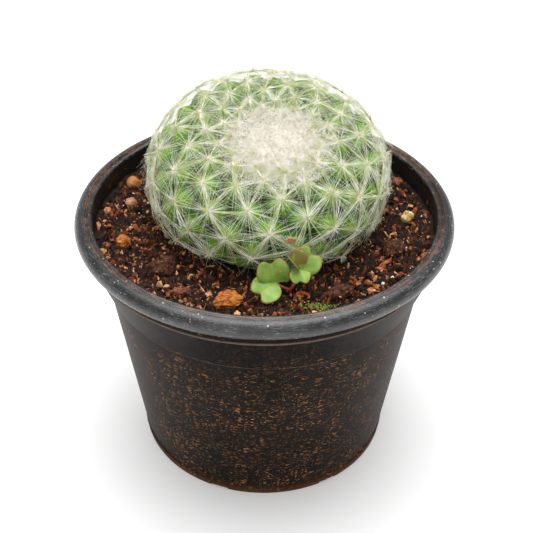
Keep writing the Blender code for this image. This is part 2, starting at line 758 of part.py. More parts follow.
def make_dried_bud():
    mesh = lump_mesh("dried_bud", BUD_SIZE, BUD_CORNERS, BUD_SEED)
    turn = globe_frame().to_3x3() @ BUD_DIRECTION.normalized()
    mesh.transform(turn.to_track_quat("Y", "Z").to_matrix().to_4x4())
    mesh.transform(Matrix.Translation(bud_centre()))
    brown = principled("dried_bud", (0.16, 0.08, 0.035), 0.8)
    bud = add_object("dried_bud", mesh, brown)
    round_off(bud, 50.0)
    return bud


# Wood-sorrel seedling

def leaflet_point(share, fan, length, fold):
    """A point of a heart-shaped leaflet: share of the way out, fan angle from its midrib."""
    notch = 1.0 - NOTCH_DEPTH * math.exp(-((fan / NOTCH_HALF_ANGLE) ** 2))
    reach = length * share * notch * max(math.cos(fan), 0.0) ** LEAFLET_TAPER
    along = reach * math.cos(fan)
    across = reach * math.sin(fan)
    lift = abs(across) * math.tan(fold)
    droop = LEAFLET_DROOP * along * along / length
    return Vector((along, across * math.cos(fold), lift - droop))


def leaflet_mesh(name, length, fold):
    """One blade, split into the same triangles on both faces, along +X from its root, facing +Z."""
    upper = [Vector((0.0, 0.0, 0.0))]
    for ring in range(LEAFLET_RINGS):
        for step in range(LEAFLET_FAN_STEPS + 1):
            fan = LEAFLET_HALF_FAN * (2.0 * step / LEAFLET_FAN_STEPS - 1.0)
            upper.append(leaflet_point((ring + 1) / LEAFLET_RINGS, fan, length, fold))
    sheet = []
    row = LEAFLET_FAN_STEPS + 1
    for step in range(LEAFLET_FAN_STEPS):
        sheet.append((0, 1 + step, 2 + step))
        for ring in range(LEAFLET_RINGS - 1):
            near = 1 + ring * row + step
            far = near + row
            sheet.append((near, far, far + 1))
            sheet.append((near, far + 1, near + 1))
    count = len(upper)
    points = upper + [point - Vector((0.0, 0.0, LEAF_THICKNESS)) for point in upper]
    faces = list(sheet)
    faces += [(count + c, count + b, count + a) for a, b, c in sheet]
    edge = [1 + ring * row for ring in range(LEAFLET_RINGS)]
    outline = [0] + edge[:-1] + list(range(edge[-1], edge[-1] + row))
    outline += [1 + ring * row + row - 1 for ring in range(LEAFLET_RINGS - 2, -1, -1)]
    for here, following in zip(outline, outline[1:] + outline[:1]):
        faces.append((following, here, count + here, count + following))
    return mesh_from(name, points, faces)


def leaflet_place(hub, towards, facing):
    """A frame at the hub with +X along the midrib and +Z out of the upper face."""
    along = towards.normalized()
    up = (facing - along * facing.dot(along)).normalized()
    across = up.cross(along)
    turn = Matrix((along, across, up)).transposed().to_4x4()
    return Matrix.Translation(hub) @ turn


def make_sorrel_leaf(name, hub, leaflets, material):
    """Three leaflets, each (length, towards, facing, fold), joined at a small knob on the hub."""
    form = bmesh.new()
    bmesh.ops.create_icosphere(form, subdivisions=1, radius=HUB_RADIUS, matrix=Matrix.Translation(hub))
    knob = bpy.data.meshes.new(name)
    form.to_mesh(knob)
    form.free()
    leaf = add_object(name, knob, material)
    blades = []
    for length, towards, facing, fold in leaflets:
        mesh = leaflet_mesh("leaflet", length, fold)
        mesh.transform(Matrix.Translation((0.0, 0.0, LEAF_THICKNESS / 2.0)))
        mesh.transform(leaflet_place(hub, Vector(towards), Vector(facing)))
        blades.append(add_object("leaflet", mesh, material))
    boolean_with(leaf, blades, "UNION", "MANIFOLD")
    round_off(leaf, 40.0)
    return leaf


def stalk_mesh(name, stations, radius, sides=6):
    """A round stalk through these points, closed at both ends."""
    points = []
    for index, station in enumerate(stations):
        before = stations[max(index - 1, 0)]
        after = stations[min(index + 1, len(stations) - 1)]
        turn = (after - before).to_track_quat("Z", "Y").to_matrix()
        for side in range(sides):
            angle = 2.0 * math.pi * side / sides
            points.append(station + turn @ Vector((math.cos(angle), math.sin(angle), 0.0)) * radius)
    faces = []
    for index in range(len(stations) - 1):
        for side in range(sides):
            low = index * sides
            following = (side + 1) % sides
            faces.append((low + side, low + following, low + sides + following, low + sides + side))
    faces.append(tuple(range(sides - 1, -1, -1)))
    faces.append(tuple((len(stations) - 1) * sides + side for side in range(sides)))
    return mesh_from(name, points, faces)


def bowed(start, end, bow, steps=4):
    """Points from start to end, bent sideways by bow in the middle."""
    line = []
    for step in range(steps + 1):
        share = step / steps
        line.append(start.lerp(end, share) + bow * math.sin(math.pi * share))
    return line


def under_hub(hub, start):
    """Where a stalk stops, short of the knob by the seat gap."""
    return hub + (start - hub).normalized() * (HUB_RADIUS + SEAT_GAP)


def make_sorrel():
    green = principled("sorrel_leaf", (0.30, 0.46, 0.11), 0.5)
    red = principled("sorrel_stalk", (0.36, 0.09, 0.06), 0.5)
    make_sorrel_leaf("sorrel_leaf_left", LEFT_HUB, LEFT_LEAFLETS, green)
    make_sorrel_leaf("sorrel_leaf_right", RIGHT_HUB, RIGHT_LEAFLETS, green)
    trunk = bowed(SORREL_ROOT, SORREL_FORK, TRUNK_BOW)
    stem = add_object("sorrel_stem", stalk_mesh("sorrel_stem", trunk, STEM_RADIUS), red)
    arms = []
    root = SORREL_FORK - Vector((0.0, 0.0, PETIOLE_SINK))
    for hub, bow in ((LEFT_HUB, LEFT_PETIOLE_BOW), (RIGHT_HUB, RIGHT_PETIOLE_BOW)):
        line = bowed(root, under_hub(hub, SORREL_FORK), bow)
        arms.append(add_object("petiole", stalk_mesh("petiole", line, PETIOLE_RADIUS), red))
    boolean_with(stem, arms, "UNION", "MANIFOLD")
    round_off(stem, 60.0)


# Soil

def soil_height(x, y):
    """The lie of the soil: level at the plant, a little higher at the wall, in soft lumps."""
    reach = math.hypot(x, y)
    level = SOIL_LEVEL_AT_PLANT + (SOIL_LEVEL_AT_WALL - SOIL_LEVEL_AT_PLANT) * ease(
        reach, LEVEL_SOIL_RADIUS, MOUTH_RADIUS
    )
    coarse = noise.noise(Vector((x, y, 0.0)) / SOIL_LUMP_SIZE)
    fine = noise.noise(Vector((x, y, FINE_LUMP_LAYER)) * FINE_LUMP_FREQUENCY / SOIL_LUMP_SIZE)
    rough = ease(reach, CALM_SOIL_RADIUS, ROUGH_SOIL_RADIUS)
    settle = CALM_SOIL_SHARE + (1.0 - CALM_SOIL_SHARE) * rough
    return level + SOIL_LUMP_HEIGHT * settle * (coarse + FINE_LUMP_SHARE * fine)


def soil_block_mesh():
    """The fill of the pot, a seat gap inside its wall and floor, with its lumpy top."""
    top_radius = MOUTH_RADIUS - SOIL_WALL_GAP
    floor = FLOOR_UNDERSIDE + WALL + SEAT_GAP
    points = [(0.0, 0.0, soil_height(0.0, 0.0))]
    for ring in range(SOIL_RINGS):
        radius = top_radius * ((ring + 1) / SOIL_RINGS) ** SOIL_RING_CROWDING
        for side in range(POT_SIDES):
            angle = 2.0 * math.pi * side / POT_SIDES
            x = radius * math.cos(angle)
            y = radius * math.sin(angle)
            points.append((x, y, soil_height(x, y)))
    below = [
        (inner_wall_radius(KINK_HEIGHT) - SOIL_WALL_GAP, KINK_HEIGHT),
        (inner_wall_radius(floor + FLOOR_FILLET) - SOIL_WALL_GAP, floor + FLOOR_FILLET),
        (inner_wall_radius(floor) - 1.5 * FLOOR_FILLET, floor),
    ]
    for radius, height in below:
        for side in range(POT_SIDES):
            angle = 2.0 * math.pi * side / POT_SIDES
            points.append((radius * math.cos(angle), radius * math.sin(angle), height))
    points.append((0.0, 0.0, floor))
    faces = []
    rings = SOIL_RINGS + len(below)
    last = len(points) - 1
    for side in range(POT_SIDES):
        following = (side + 1) % POT_SIDES
        faces.append((0, 1 + side, 1 + following))
        for ring in range(rings - 1):
            low = 1 + ring * POT_SIDES
            high = low + POT_SIDES
            faces.append((low + side, high + side, high + following))
            faces.append((low + side, high + following, low + following))
        edge = 1 + (rings - 1) * POT_SIDES
        faces.append((last, edge + following, edge + side))
    return mesh_from("soil", points, faces)


def recess_cutter(material):
    """The room that the globe and its root take in the soil: a dark moat, then a close seat."""
    profile = []
    for radius, height in globe_profile(48):
        if height > RECESS_TOP:
            continue
        close = ease(-height, MOAT_START, MOAT_END)
        offset = (1.0 - close) * MOAT_WIDTH + close * (RECESS_SEAT_GAP - BURIED_DROP)
        steep = math.atan2(height / UNDERSIDE_DEPTH, radius / GLOBE_RADIUS)
        profile.append((radius + offset * math.cos(steep), height + offset * math.sin(steep)))
    profile = [row for row in profile if row[0] > ROOT_FLARE_RADIUS]
    deepest = -ROOT_DEPTH - ROOT_END_CLEARANCE
    profile.insert(0, (0.0, RECESS_LID))
    profile.insert(1, (profile[1][0], RECESS_LID))
    profile.append((ROOT_RADIUS + ROOT_CLEARANCE, deepest))
    profile.append((0.0, deepest))
    mesh = turn_profile("globe_recess", profile, RECESS_SIDES)
    mesh.transform(globe_frame())
    return add_object("globe_recess", mesh, material)


def sorrel_hole_cutter(material):
    low = SORREL_ROOT - Vector((0.0, 0.0, SEAT_GAP))
    high = Vector((SORREL_FORK.x, SORREL_FORK.y, SORREL_FORK.z + SORREL_HOLE_OVERSHOOT))
    mesh = stalk_mesh("sorrel_hole", [low, high], SORREL_HOLE_RADIUS, 8)
    return add_object("sorrel_hole", mesh, material)


def loose_piece_mesh(name, place, size, turn, corners, seed, grow=0.0):
    """A lump lying on the soil at this place, grown by so much on each side."""
    grown = Vector((size[0] / 2.0, size[1] / 2.0, size[2] / 2.0)) * MM
    grown += Vector((grow, grow, grow))
    mesh = lump_mesh(name, grown, corners, seed)
    height = soil_height(place[0] * MM, place[1] * MM) + LUMP_SHOWING * size[2] * MM
    centre = Vector((place[0] * MM, place[1] * MM, height))
    mesh.transform(Matrix.Translation(centre) @ Matrix.Rotation(math.radians(turn), 4, "Z"))
    return mesh


def make_loose_pieces():
    """Each piece on the soil, and the room that it needs there."""
    rooms = []
    for index, (name, colour, place, size, turn, corners) in enumerate(LOOSE_PIECES):
        finish = principled(name, colour, 0.85)
        seed = FIRST_LUMP_SEED + index
        mesh = loose_piece_mesh(name, place, size, turn, corners, seed)
        piece = add_object(name, mesh, finish)
        round_off(piece, 28.0)
        room = loose_piece_mesh("room", place, size, turn, corners, seed, LUMP_ROOM)
        rooms.append(add_object("room", room, finish))
    return rooms


def make_soil(rooms):
    brown = principled("soil", (0.07, 0.032, 0.016), 0.95)
    soil = add_object("soil", soil_block_mesh(), brown)
    boolean_with(soil, [recess_cutter(brown), sorrel_hole_cutter(brown)] + rooms, "DIFFERENCE")
    round_off(soil, 60.0)
    return soil


def main():
    clear_scene()
    make_pot()
    make_soil(make_loose_pieces())
    places = areole_places()
    triangles = net_of([sphere_direction(place[0]) for place in places])
    make_cactus_stem(places, triangles)
    make_spine_net(places, triangles)
    make_dried_bud()
    make_sorrel()


if __name__ == "__main__":
    main()
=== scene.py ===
"""Looks of the potted feather cactus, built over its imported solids.

A nursery pot of black polypropylene, a rough peat and bark mix, a globe of green tubercles under white
feathery spines, and a wood-sorrel seedling. Metres, +Z up, the front is -Y.
"""

import json
import math
import random
from functools import partial

import bmesh
import bpy
import numpy as np
from bpy.props import FloatProperty, FloatVectorProperty, IntProperty, PointerProperty
from mathutils import Matrix, Vector, noise
from mathutils.bvhtree import BVHTree

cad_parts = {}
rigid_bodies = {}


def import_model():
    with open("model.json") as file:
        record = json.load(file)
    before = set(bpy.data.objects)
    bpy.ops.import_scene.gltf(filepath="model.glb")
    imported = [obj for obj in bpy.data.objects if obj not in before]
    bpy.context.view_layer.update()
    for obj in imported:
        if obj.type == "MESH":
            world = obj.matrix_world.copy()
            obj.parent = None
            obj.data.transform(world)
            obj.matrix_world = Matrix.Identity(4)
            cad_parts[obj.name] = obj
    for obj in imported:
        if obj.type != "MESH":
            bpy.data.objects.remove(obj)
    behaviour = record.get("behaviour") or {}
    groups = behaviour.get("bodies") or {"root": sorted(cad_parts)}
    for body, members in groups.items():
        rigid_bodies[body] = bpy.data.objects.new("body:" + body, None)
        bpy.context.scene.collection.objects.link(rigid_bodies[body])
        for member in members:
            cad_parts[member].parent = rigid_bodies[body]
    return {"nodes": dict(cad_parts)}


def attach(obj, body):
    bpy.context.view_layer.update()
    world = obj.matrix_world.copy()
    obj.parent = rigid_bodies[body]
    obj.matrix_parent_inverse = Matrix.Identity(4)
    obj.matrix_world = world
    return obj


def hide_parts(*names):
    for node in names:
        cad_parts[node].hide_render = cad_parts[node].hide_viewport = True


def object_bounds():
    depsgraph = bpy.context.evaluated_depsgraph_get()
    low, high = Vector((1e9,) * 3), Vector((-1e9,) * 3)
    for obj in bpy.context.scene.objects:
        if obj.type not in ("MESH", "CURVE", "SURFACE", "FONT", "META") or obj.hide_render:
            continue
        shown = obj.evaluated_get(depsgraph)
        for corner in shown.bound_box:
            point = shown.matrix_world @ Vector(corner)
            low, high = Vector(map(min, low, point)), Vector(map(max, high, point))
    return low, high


bl_info = {
    "name": "Potted Feather Cactus", "version": (1, 0, 0), "blender": (4, 5, 0),
    "location": "3D View > Sidebar > Cactus",
    "description": "Builds the pot, soil, cactus, spines and seedling over the packed solids",
    "category": "Add Mesh",
}

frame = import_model()
CAD_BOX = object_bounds()

MM = 0.001

# Pot, as in the part's source
RIM_RADIUS = 50.0 * MM
POT_HEIGHT = 72.6 * MM
ROLL_RADIUS = 2.6 * MM
MOUTH_RADIUS = 45.3 * MM
COLLAR_RADIUS = 47.0 * MM
COLLAR_TOP = 65.4 * MM
KINK_RADIUS = 42.3 * MM
KINK_HEIGHT = 52.9 * MM
FOOT_RADIUS = 34.6 * MM
FOOT_BAND_HEIGHT = 2.6 * MM
FOOT_RING_WIDTH = 2.0 * MM
FLOOR_UNDERSIDE = 2.0 * MM
WALL = 1.3 * MM
LEDGE = 0.3 * MM
LEDGE_RISE = 0.3 * MM
FOOT_ROUNDING = 0.4 * MM
FOOT_EDGE_HEIGHT = 0.5 * MM
COLLAR_LIP_HEIGHT = 1.2 * MM
COLLAR_BULGE = 0.16 * MM
GROOVE_INSET = 3.05 * MM
GROOVE_DEPTH = 0.45 * MM
GROOVE_DUST_INSET = 3.1 * MM
BEAD_RADIUS = 0.75 * MM
BEAD_MIDDLE_DROP = 0.8 * MM
FLOOR_FILLET = 0.8 * MM
DRAIN_HOLES = 6
DRAIN_HOLE_RADIUS = 3.0 * MM
DRAIN_CIRCLE_RADIUS = 21.0 * MM
FOOT_NOTCHES = 7
FOOT_NOTCH_WIDTH = 5.0 * MM
FOOT_NOTCH_HEIGHT = 0.7 * MM
FIRST_NOTCH_ANGLE = math.radians(-59.0)

# Soil
SOIL_LEVEL_AT_PLANT = 65.4 * MM
SOIL_LEVEL_AT_WALL = 66.6 * MM
SOIL_LUMP_SIZE = 7.0 * MM
SOIL_LUMP_HEIGHT = 1.1 * MM
FINE_LUMP_FREQUENCY = 2.3
FINE_LUMP_SHARE = 0.45
FINE_LUMP_LAYER = 0.05
CALM_SOIL_SHARE = 0.35
CALM_SOIL_RADIUS = 24.0 * MM
ROUGH_SOIL_RADIUS = 34.0 * MM
LEVEL_SOIL_RADIUS = 26.0 * MM
LITTER_RADIUS = 43.9 * MM
SOIL_CLEARANCE = 0.6 * MM

# Cactus globe and its areoles
GLOBE_CENTRE = Vector((0.9, 5.8, 77.9)) * MM
LEAN_TO_FRONT = math.radians(14.5)
LEAN_TO_RIGHT = math.radians(1.5)
GLOBE_RADIUS = 31.3 * MM
CROWN_HEIGHT = 17.6 * MM
UNDERSIDE_DEPTH = 19.0 * MM
SHOULDER_FULLNESS = 3.2
UNDERSIDE_FULLNESS = 2.0
CROWN_DIMPLE_DEPTH = 3.0 * MM
CROWN_DIMPLE_RADIUS = 9.0 * MM
# The wool has its middle a little in front of the pole, as the photograph shows it
CROWN_SHIFT = Vector((2.0, -4.6, 0.0)) * MM
CROWN_FILL = 2.3 * MM
ROOT_RADIUS = 5.0 * MM
ROOT_DEPTH = 30.0 * MM
ROOT_FLARE_RADIUS = 16.0 * MM
GOLDEN_ANGLE = math.pi * (3.0 - math.sqrt(5.0))
FIRST_AREOLE_ANGLE = math.radians(353.5)
FULL_SPACING = 8.85 * MM
YOUNG_SPACING = 3.1 * MM
YOUNG_RADIUS = 2.9 * MM
FULL_GROWN_RADIUS = 27.2 * MM
LOWEST_AREOLE = 67.8 * MM
TUBERCLE_TOP_DROP = 0.85 * MM
VALLEY_SHARE_OF_SPACING = 0.34
BURIED_DROP = 2.6 * MM
SHALLOWEST_VALLEY = 1.5 * MM
# How far a tubercle reaches from its tip, as a share of the spacing
TUBERCLE_REACH = 0.58
SKIN_RIPPLE = 0.18 * MM
SKIN_RIPPLE_SIZE = 2.2 * MM
LOWEST_FACING = -0.93
HEXAGON_SHARE = 0.866
LONGEST_STRAND = 16.0 * MM

# Least spacing of the areoles that carry a star, a bundle or felt
STAR_SPACING = 3.6 * MM
BUNDLE_SPACING = 3.9 * MM
FELT_SPACING = 4.0 * MM
# The star turns into a fringe between these heights above the floor
FRINGE_LOW = 66.0 * MM
FRINGE_HIGH = 77.0 * MM
UPPER_STARS = 9.5 * MM
MISSING_BUNDLES = 0.34
WOOL_SPACING = 1.35 * MM
CUSHION_THICKNESS = 2.2 * MM
CEILING = CAD_BOX[1].z - 0.05 * MM

# Small things lying on the soil: perlite as (x, y, radius) in millimetres
PERLITE = (
    (29.7, -25.6, 0.5), (32.1, -24.0, 0.6), (27.2, -29.3, 0.35), (-32.2, -22.4, 0.5), (36.6, -11.0, 0.4)
)
SPECK_REACH = 44.0 * MM
CURL_PLACE = Vector((9.6, -31.0, 0.0)) * MM
CURL_STEPS = 18
MOSS_PLACE = Vector((13.7, -35.4, 0.0)) * MM
MOSS_SPREAD = (2.3, 0.8)
MOSS_LIMIT = 43.5 * MM

# Wood-sorrel seedling
STEM_RADIUS = 0.42 * MM
NOTCH_DEPTH = 0.27
NOTCH_HALF_ANGLE = 0.22
LEAFLET_HALF_FAN = math.radians(84.0)
LEAFLET_TAPER = 0.62
LEAFLET_DROOP = 0.12
STALK_STEPS = 12
SORREL_ROOT = Vector((5.9, -28.6, 60.5)) * MM
SORREL_FORK = Vector((6.4, -29.0, 67.5)) * MM
LEFT_HUB = Vector((2.9, -28.6, 69.2)) * MM
RIGHT_HUB = Vector((8.5, -27.6, 72.7)) * MM
# Each leaflet: length, the way its midrib runs, the way its upper face looks, fold along the midrib
LEFT_LEAFLETS = (
    (7.2 * MM, (-0.22, 0.10, 0.97), (0.0, -0.85, 0.50), math.radians(10.0)),
    (7.0 * MM, (-0.74, -0.66, -0.16), (-0.05, -0.50, 0.86), math.radians(8.0)),
    (4.4 * MM, (0.96, 0.02, 0.22), (0.10, 0.35, 0.93), math.radians(50.0)),
)
RIGHT_LEAFLETS = (
    (6.8 * MM, (0.62, 0.08, 0.78), (0.05, -0.80, 0.60), math.radians(9.0)),
    (4.6 * MM, (0.10, -0.80, -0.35), (0.10, -0.50, 0.86), math.radians(12.0)),
    (5.6 * MM, (-0.58, 0.22, 0.78), (0.60, -0.60, 0.40), math.radians(46.0)),
)

# Camera, as fitted to the photograph, and lights: name, place, width, share of the lamp power
CAMERA_PLACE = (0.0, -262.40 * MM, 249.93 * MM)
CAMERA_ROLL = math.radians(0.32)
CAMERA_SHIFT = 0.00433
LIGHTS = (("overhead", (0.0, 0.12, 0.8), 0.85, 1.0), ("front", (-0.12, -0.85, 0.55), 0.5, 0.22))
LIGHT_TARGET = (0.0, 0.0, 0.06)


# Helpers

def linear(code):
    """Linear RGBA of an sRGB hex colour."""
    values = []
    for start in (1, 3, 5):
        share = int(code[start:start + 2], 16) / 255.0
        values.append(share / 12.92 if share <= 0.04045 else ((share + 0.055) / 1.055) ** 2.4)
    return (*values, 1.0)


def feed(node, inputs):
    """Sets a node's inputs to plain values, or links them from sockets or from nodes' first outputs."""
    for label, value in inputs.items():
        if isinstance(value, bpy.types.Node):
            value = next(output for output in value.outputs if output.enabled)
        if isinstance(value, bpy.types.NodeSocket):
            node.id_data.links.new(value, node.inputs[label])
        else:
            node.inputs[label].default_value = value


def add_node(tree, kind, inputs=None, stops=None, **settings):
    """Adds a node with its settings, a ramp's stops (hex code or RGBA), and its inputs."""
    node = tree.nodes.new(kind)
    for label, value in settings.items():
        setattr(node, label, value)
    if stops:
        ramp = node.color_ramp.elements
        while len(ramp) < len(stops):
            ramp.new(0.5)
        for element, (position, colour) in zip(ramp, stops):
            element.position = position
            element.color = linear(colour) if isinstance(colour, str) else colour
    feed(node, inputs or {})
    return node


def new_material(name, roughness, ior=1.5, **values):
    """A material with one Principled shader, whose other sockets are values, and what adds its nodes."""
    material = bpy.data.materials.new(name)
    material.use_nodes = True
    shader = material.node_tree.nodes["Principled BSDF"]
    feed(shader, {"Roughness": roughness, "IOR": ior})
    feed(shader, {label.replace("_", " "): value for label, value in values.items()})
    return material, partial(add_node, material.node_tree), shader


def ease(value, low, high):
    """Runs smoothly from 0 at low to 1 at high."""
    share = min(max((value - low) / (high - low), 0.0), 1.0)
    return share * share * (3.0 - 2.0 * share)


def link_piece(name, mesh, *materials):
    """A new object at the origin with this mesh and these materials."""
    mesh.name = name
    # clearing an empty list would also reset the faces' material numbers
    if mesh.materials:
        mesh.materials.clear()
    for material in materials:
        mesh.materials.append(material)
    piece = bpy.data.objects.new(name, mesh)
    bpy.context.scene.collection.objects.link(piece)
    return piece


def finish_piece(piece, slot, *nodes):
    """Rides on the one body and stands for the CAD nodes; the slot is not used."""
    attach(piece, "root")
    if nodes:
        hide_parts(*nodes)


def mesh_from(name, points, faces, smooth=True):
    """A mesh of these points and faces, with its faces turned outwards."""
    mesh = bpy.data.meshes.new(name)
    mesh.from_pydata([tuple(point) for point in points], [], faces)
    form = bmesh.new()
    form.from_mesh(mesh)
    bmesh.ops.recalc_face_normals(form, faces=form.faces)
    form.to_mesh(mesh)
    form.free()
    if smooth:
        mesh.shade_smooth()
    return mesh


def turned_faces(sides, rows):
    """Faces of a closed turned body: one first point, rows of points, one last point."""
    faces = []
    for side in range(sides):
        following = (side + 1) % sides
        faces.append((0, 1 + side, 1 + following))
        for row in range(rows - 1):
            low = 1 + row * sides
            high = low + sides
            faces.append((low + side, high + side, high + following, low + following))
        edge = 1 + (rows - 1) * sides
        faces.append((1 + rows * sides, edge + following, edge + side))
    return faces


def store(mesh, name, values, kind="FLOAT"):
    """Keeps one value for each point of the mesh under this name."""
    layer = mesh.attributes.new(name, kind, "POINT")
    field = "vector" if kind == "FLOAT_VECTOR" else "value"
    layer.data.foreach_set(field, np.asarray(values, dtype=np.float32).ravel())


def new_tree(name, sockets):
    """A Geometry Nodes tree with inputs, each (name, kind, default), what adds its nodes, and the inputs."""
    tree = bpy.data.node_groups.new(name, "GeometryNodeTree")
    tree.interface.new_socket("Geometry", in_out="INPUT", socket_type="NodeSocketGeometry")
    for label, kind, default in sockets:
        socket = tree.interface.new_socket(label, in_out="INPUT", socket_type="NodeSocket" + kind)
        if default is not None:
            socket.default_value = default
    tree.interface.new_socket("Geometry", in_out="OUTPUT", socket_type="NodeSocketGeometry")
    return tree, partial(add_node, tree), tree.nodes.new("NodeGroupInput").outputs


def grown(name, base, tree, values, materials):
    """Runs the tree on this mesh and keeps the result as a plain mesh object."""
    host = bpy.data.objects.new(name, base)
    bpy.context.scene.collection.objects.link(host)
    modifier = host.modifiers.new("Grow", "NODES")
    modifier.node_group = tree
    for item in tree.interface.items_tree:
        if item.in_out == "INPUT" and item.name in values:
            modifier[item.identifier] = values[item.name]
    bpy.context.view_layer.update()
    graph = bpy.context.evaluated_depsgraph_get()
    mesh = bpy.data.meshes.new_from_object(
        host.evaluated_get(graph), preserve_all_data_layers=True, depsgraph=graph
    )
    bpy.data.objects.remove(host, do_unlink=True)
    bpy.data.meshes.remove(base)
    return link_piece(name, mesh, *materials)


# Pot

def rim_roll_points(steps):
    """(radius, height) round the outside of the rolled rim."""
    middle = Vector((RIM_RADIUS - ROLL_RADIUS, POT_HEIGHT - ROLL_RADIUS))
    points = []
    for step in range(steps + 1):
        angle = math.radians(-95.0 + 190.0 * step / steps)
        offset = Vector((math.cos(angle), math.sin(angle))) * ROLL_RADIUS
        points.append(tuple(middle + offset))
    return points


def pot_profile():
    """Three runs of (radius, height): outer wall, rim, and inside."""
    floor = FLOOR_UNDERSIDE + WALL
    groove = RIM_RADIUS - GROOVE_INSET
    foot_inside = FOOT_RADIUS - FOOT_RING_WIDTH
    outside = [
        (foot_inside, FLOOR_UNDERSIDE), (foot_inside + 0.3 * MM, 0.0), (FOOT_RADIUS - FOOT_ROUNDING, 0.0),
        (FOOT_RADIUS - 0.12 * MM, 0.12 * MM), (FOOT_RADIUS, FOOT_EDGE_HEIGHT),
        (FOOT_RADIUS + LEDGE, FOOT_BAND_HEIGHT), (FOOT_RADIUS + 0.8 * LEDGE, FOOT_BAND_HEIGHT + 0.15 * MM),
        (FOOT_RADIUS + 0.2 * LEDGE, FOOT_BAND_HEIGHT + LEDGE_RISE), (KINK_RADIUS, KINK_HEIGHT),
        (KINK_RADIUS + LEDGE, KINK_HEIGHT + LEDGE_RISE), (COLLAR_RADIUS - 0.05 * MM, COLLAR_TOP - 0.9 * MM),
        (COLLAR_RADIUS + COLLAR_BULGE, COLLAR_TOP - 0.75 * MM),
        (COLLAR_RADIUS + COLLAR_BULGE, COLLAR_TOP - 0.35 * MM), (COLLAR_RADIUS, COLLAR_TOP - 0.2 * MM),
        (COLLAR_RADIUS, COLLAR_TOP), (COLLAR_RADIUS + LEDGE, COLLAR_TOP + LEDGE_RISE),
        (COLLAR_RADIUS + LEDGE, COLLAR_TOP + COLLAR_LIP_HEIGHT),
    ]
    bead_middle = Vector((MOUTH_RADIUS + BEAD_RADIUS, POT_HEIGHT - BEAD_MIDDLE_DROP))
    rim = rim_roll_points(22)
    rim += [(groove + shift, POT_HEIGHT - GROOVE_DEPTH) for shift in (0.05 * MM, -0.12 * MM)]
    for step in range(9):
        angle = math.radians(45.0 + 135.0 * step / 8)
        rim.append(
            (bead_middle.x + BEAD_RADIUS * math.cos(angle), bead_middle.y + BEAD_RADIUS * math.sin(angle))
        )
    inside = [
        (MOUTH_RADIUS, COLLAR_TOP), (KINK_RADIUS - WALL, KINK_HEIGHT),
        (FOOT_RADIUS - WALL + 0.6 * MM, floor + FLOOR_FILLET), (FOOT_RADIUS - WALL - 0.2 * MM, floor),
    ]
    return outside, rim, inside, floor


def turned_pot_mesh(sides):
    """The pot as one closed turned body; material 0 is the wall, 1 the rim and 2 the inside."""
    outside, rim, inside, floor = pot_profile()
    rows = outside + rim + inside
    points = [(0.0, 0.0, FLOOR_UNDERSIDE)]
    for radius, height in rows:
        for side in range(sides):
            angle = 2.0 * math.pi * side / sides
            points.append((radius * math.cos(angle), radius * math.sin(angle), height))
    points.append((0.0, 0.0, floor))
    # the profile starts at the underside, so the faces are the other way round
    faces = [face[:1] + face[:0:-1] for face in turned_faces(sides, len(rows))]
    kinds = [0] * (len(outside) + 1) + [1] * (len(rim) - 1) + [2] * (len(inside) + 1)
    mesh = bpy.data.meshes.new("pot_shell")
    mesh.from_pydata(points, [], faces)
    mesh.polygons.foreach_set("material_index", kinds * sides)
    return mesh


def drill_mesh(radius, low, high, sides, place):
    """A rod that cuts one drain hole."""
    form = bmesh.new()
    bmesh.ops.create_cone(
        form, cap_ends=True, segments=sides, radius1=radius, radius2=radius, depth=high - low,
        matrix=Matrix.Translation((place[0], place[1], (low + high) / 2.0)),
    )
    mesh = bpy.data.meshes.new("drain_drill")
    form.to_mesh(mesh)
    form.free()
    return mesh


def notch_mesh(angle):
    """A block that cuts one notch out of the foot ring."""
    form = bmesh.new()
    size = (2.0 * FOOT_RING_WIDTH + 1.0 * MM, FOOT_NOTCH_WIDTH, 2.0 * FOOT_NOTCH_HEIGHT, 1.0)
    at_foot = Matrix.Translation((FOOT_RADIUS, 0.0, 0.0))
    place = Matrix.Rotation(angle, 4, "Z") @ at_foot @ Matrix.Diagonal(size)
    bmesh.ops.create_cube(form, size=1.0, matrix=place)
    mesh = bpy.data.meshes.new("foot_notch")
    form.to_mesh(mesh)
    form.free()
    return mesh


def cut(piece, helpers):
    """Cuts the helpers out of the piece with one Boolean and removes them."""
    group = bpy.data.collections.new("cutters")
    bpy.context.scene.collection.children.link(group)
    for mesh in helpers:
        helper = bpy.data.objects.new("cutter", mesh)
        helper.hide_render = True
        helper.display_type = "WIRE"
        group.objects.link(helper)
    modifier = piece.modifiers.new("Cut", "BOOLEAN")
    modifier.operand_type = "COLLECTION"
    modifier.collection = group
    modifier.solver = "EXACT"
    bpy.context.view_layer.update()
    graph = bpy.context.evaluated_depsgraph_get()
    mesh = bpy.data.meshes.new_from_object(piece.evaluated_get(graph))
    piece.modifiers.clear()
    mesh.name = piece.name
    piece.data = mesh
    for helper in list(group.objects):
        bpy.data.objects.remove(helper, do_unlink=True)
    bpy.data.collections.remove(group)


def unrolled(add, place):
    """Arc length round the pot from the front, distance from the axis, and height."""
    split = add("ShaderNodeSeparateXYZ", {"Vector": place})
    front = add("ShaderNodeMath", {0: split.outputs["Y"], 1: -1.0}, operation="MULTIPLY")
    turn = add("ShaderNodeMath", {0: split.outputs["X"], 1: front}, operation="ARCTAN2")
    arc = add("ShaderNodeMath", {0: turn, 1: KINK_RADIUS}, operation="MULTIPLY")
    flat = add("ShaderNodeVectorMath", {0: place, 1: (1.0, 1.0, 0.0)}, operation="MULTIPLY")
    reach = add("ShaderNodeVectorMath", {0: flat}, operation="LENGTH").outputs["Value"]
    return arc, reach, split.outputs["Z"]


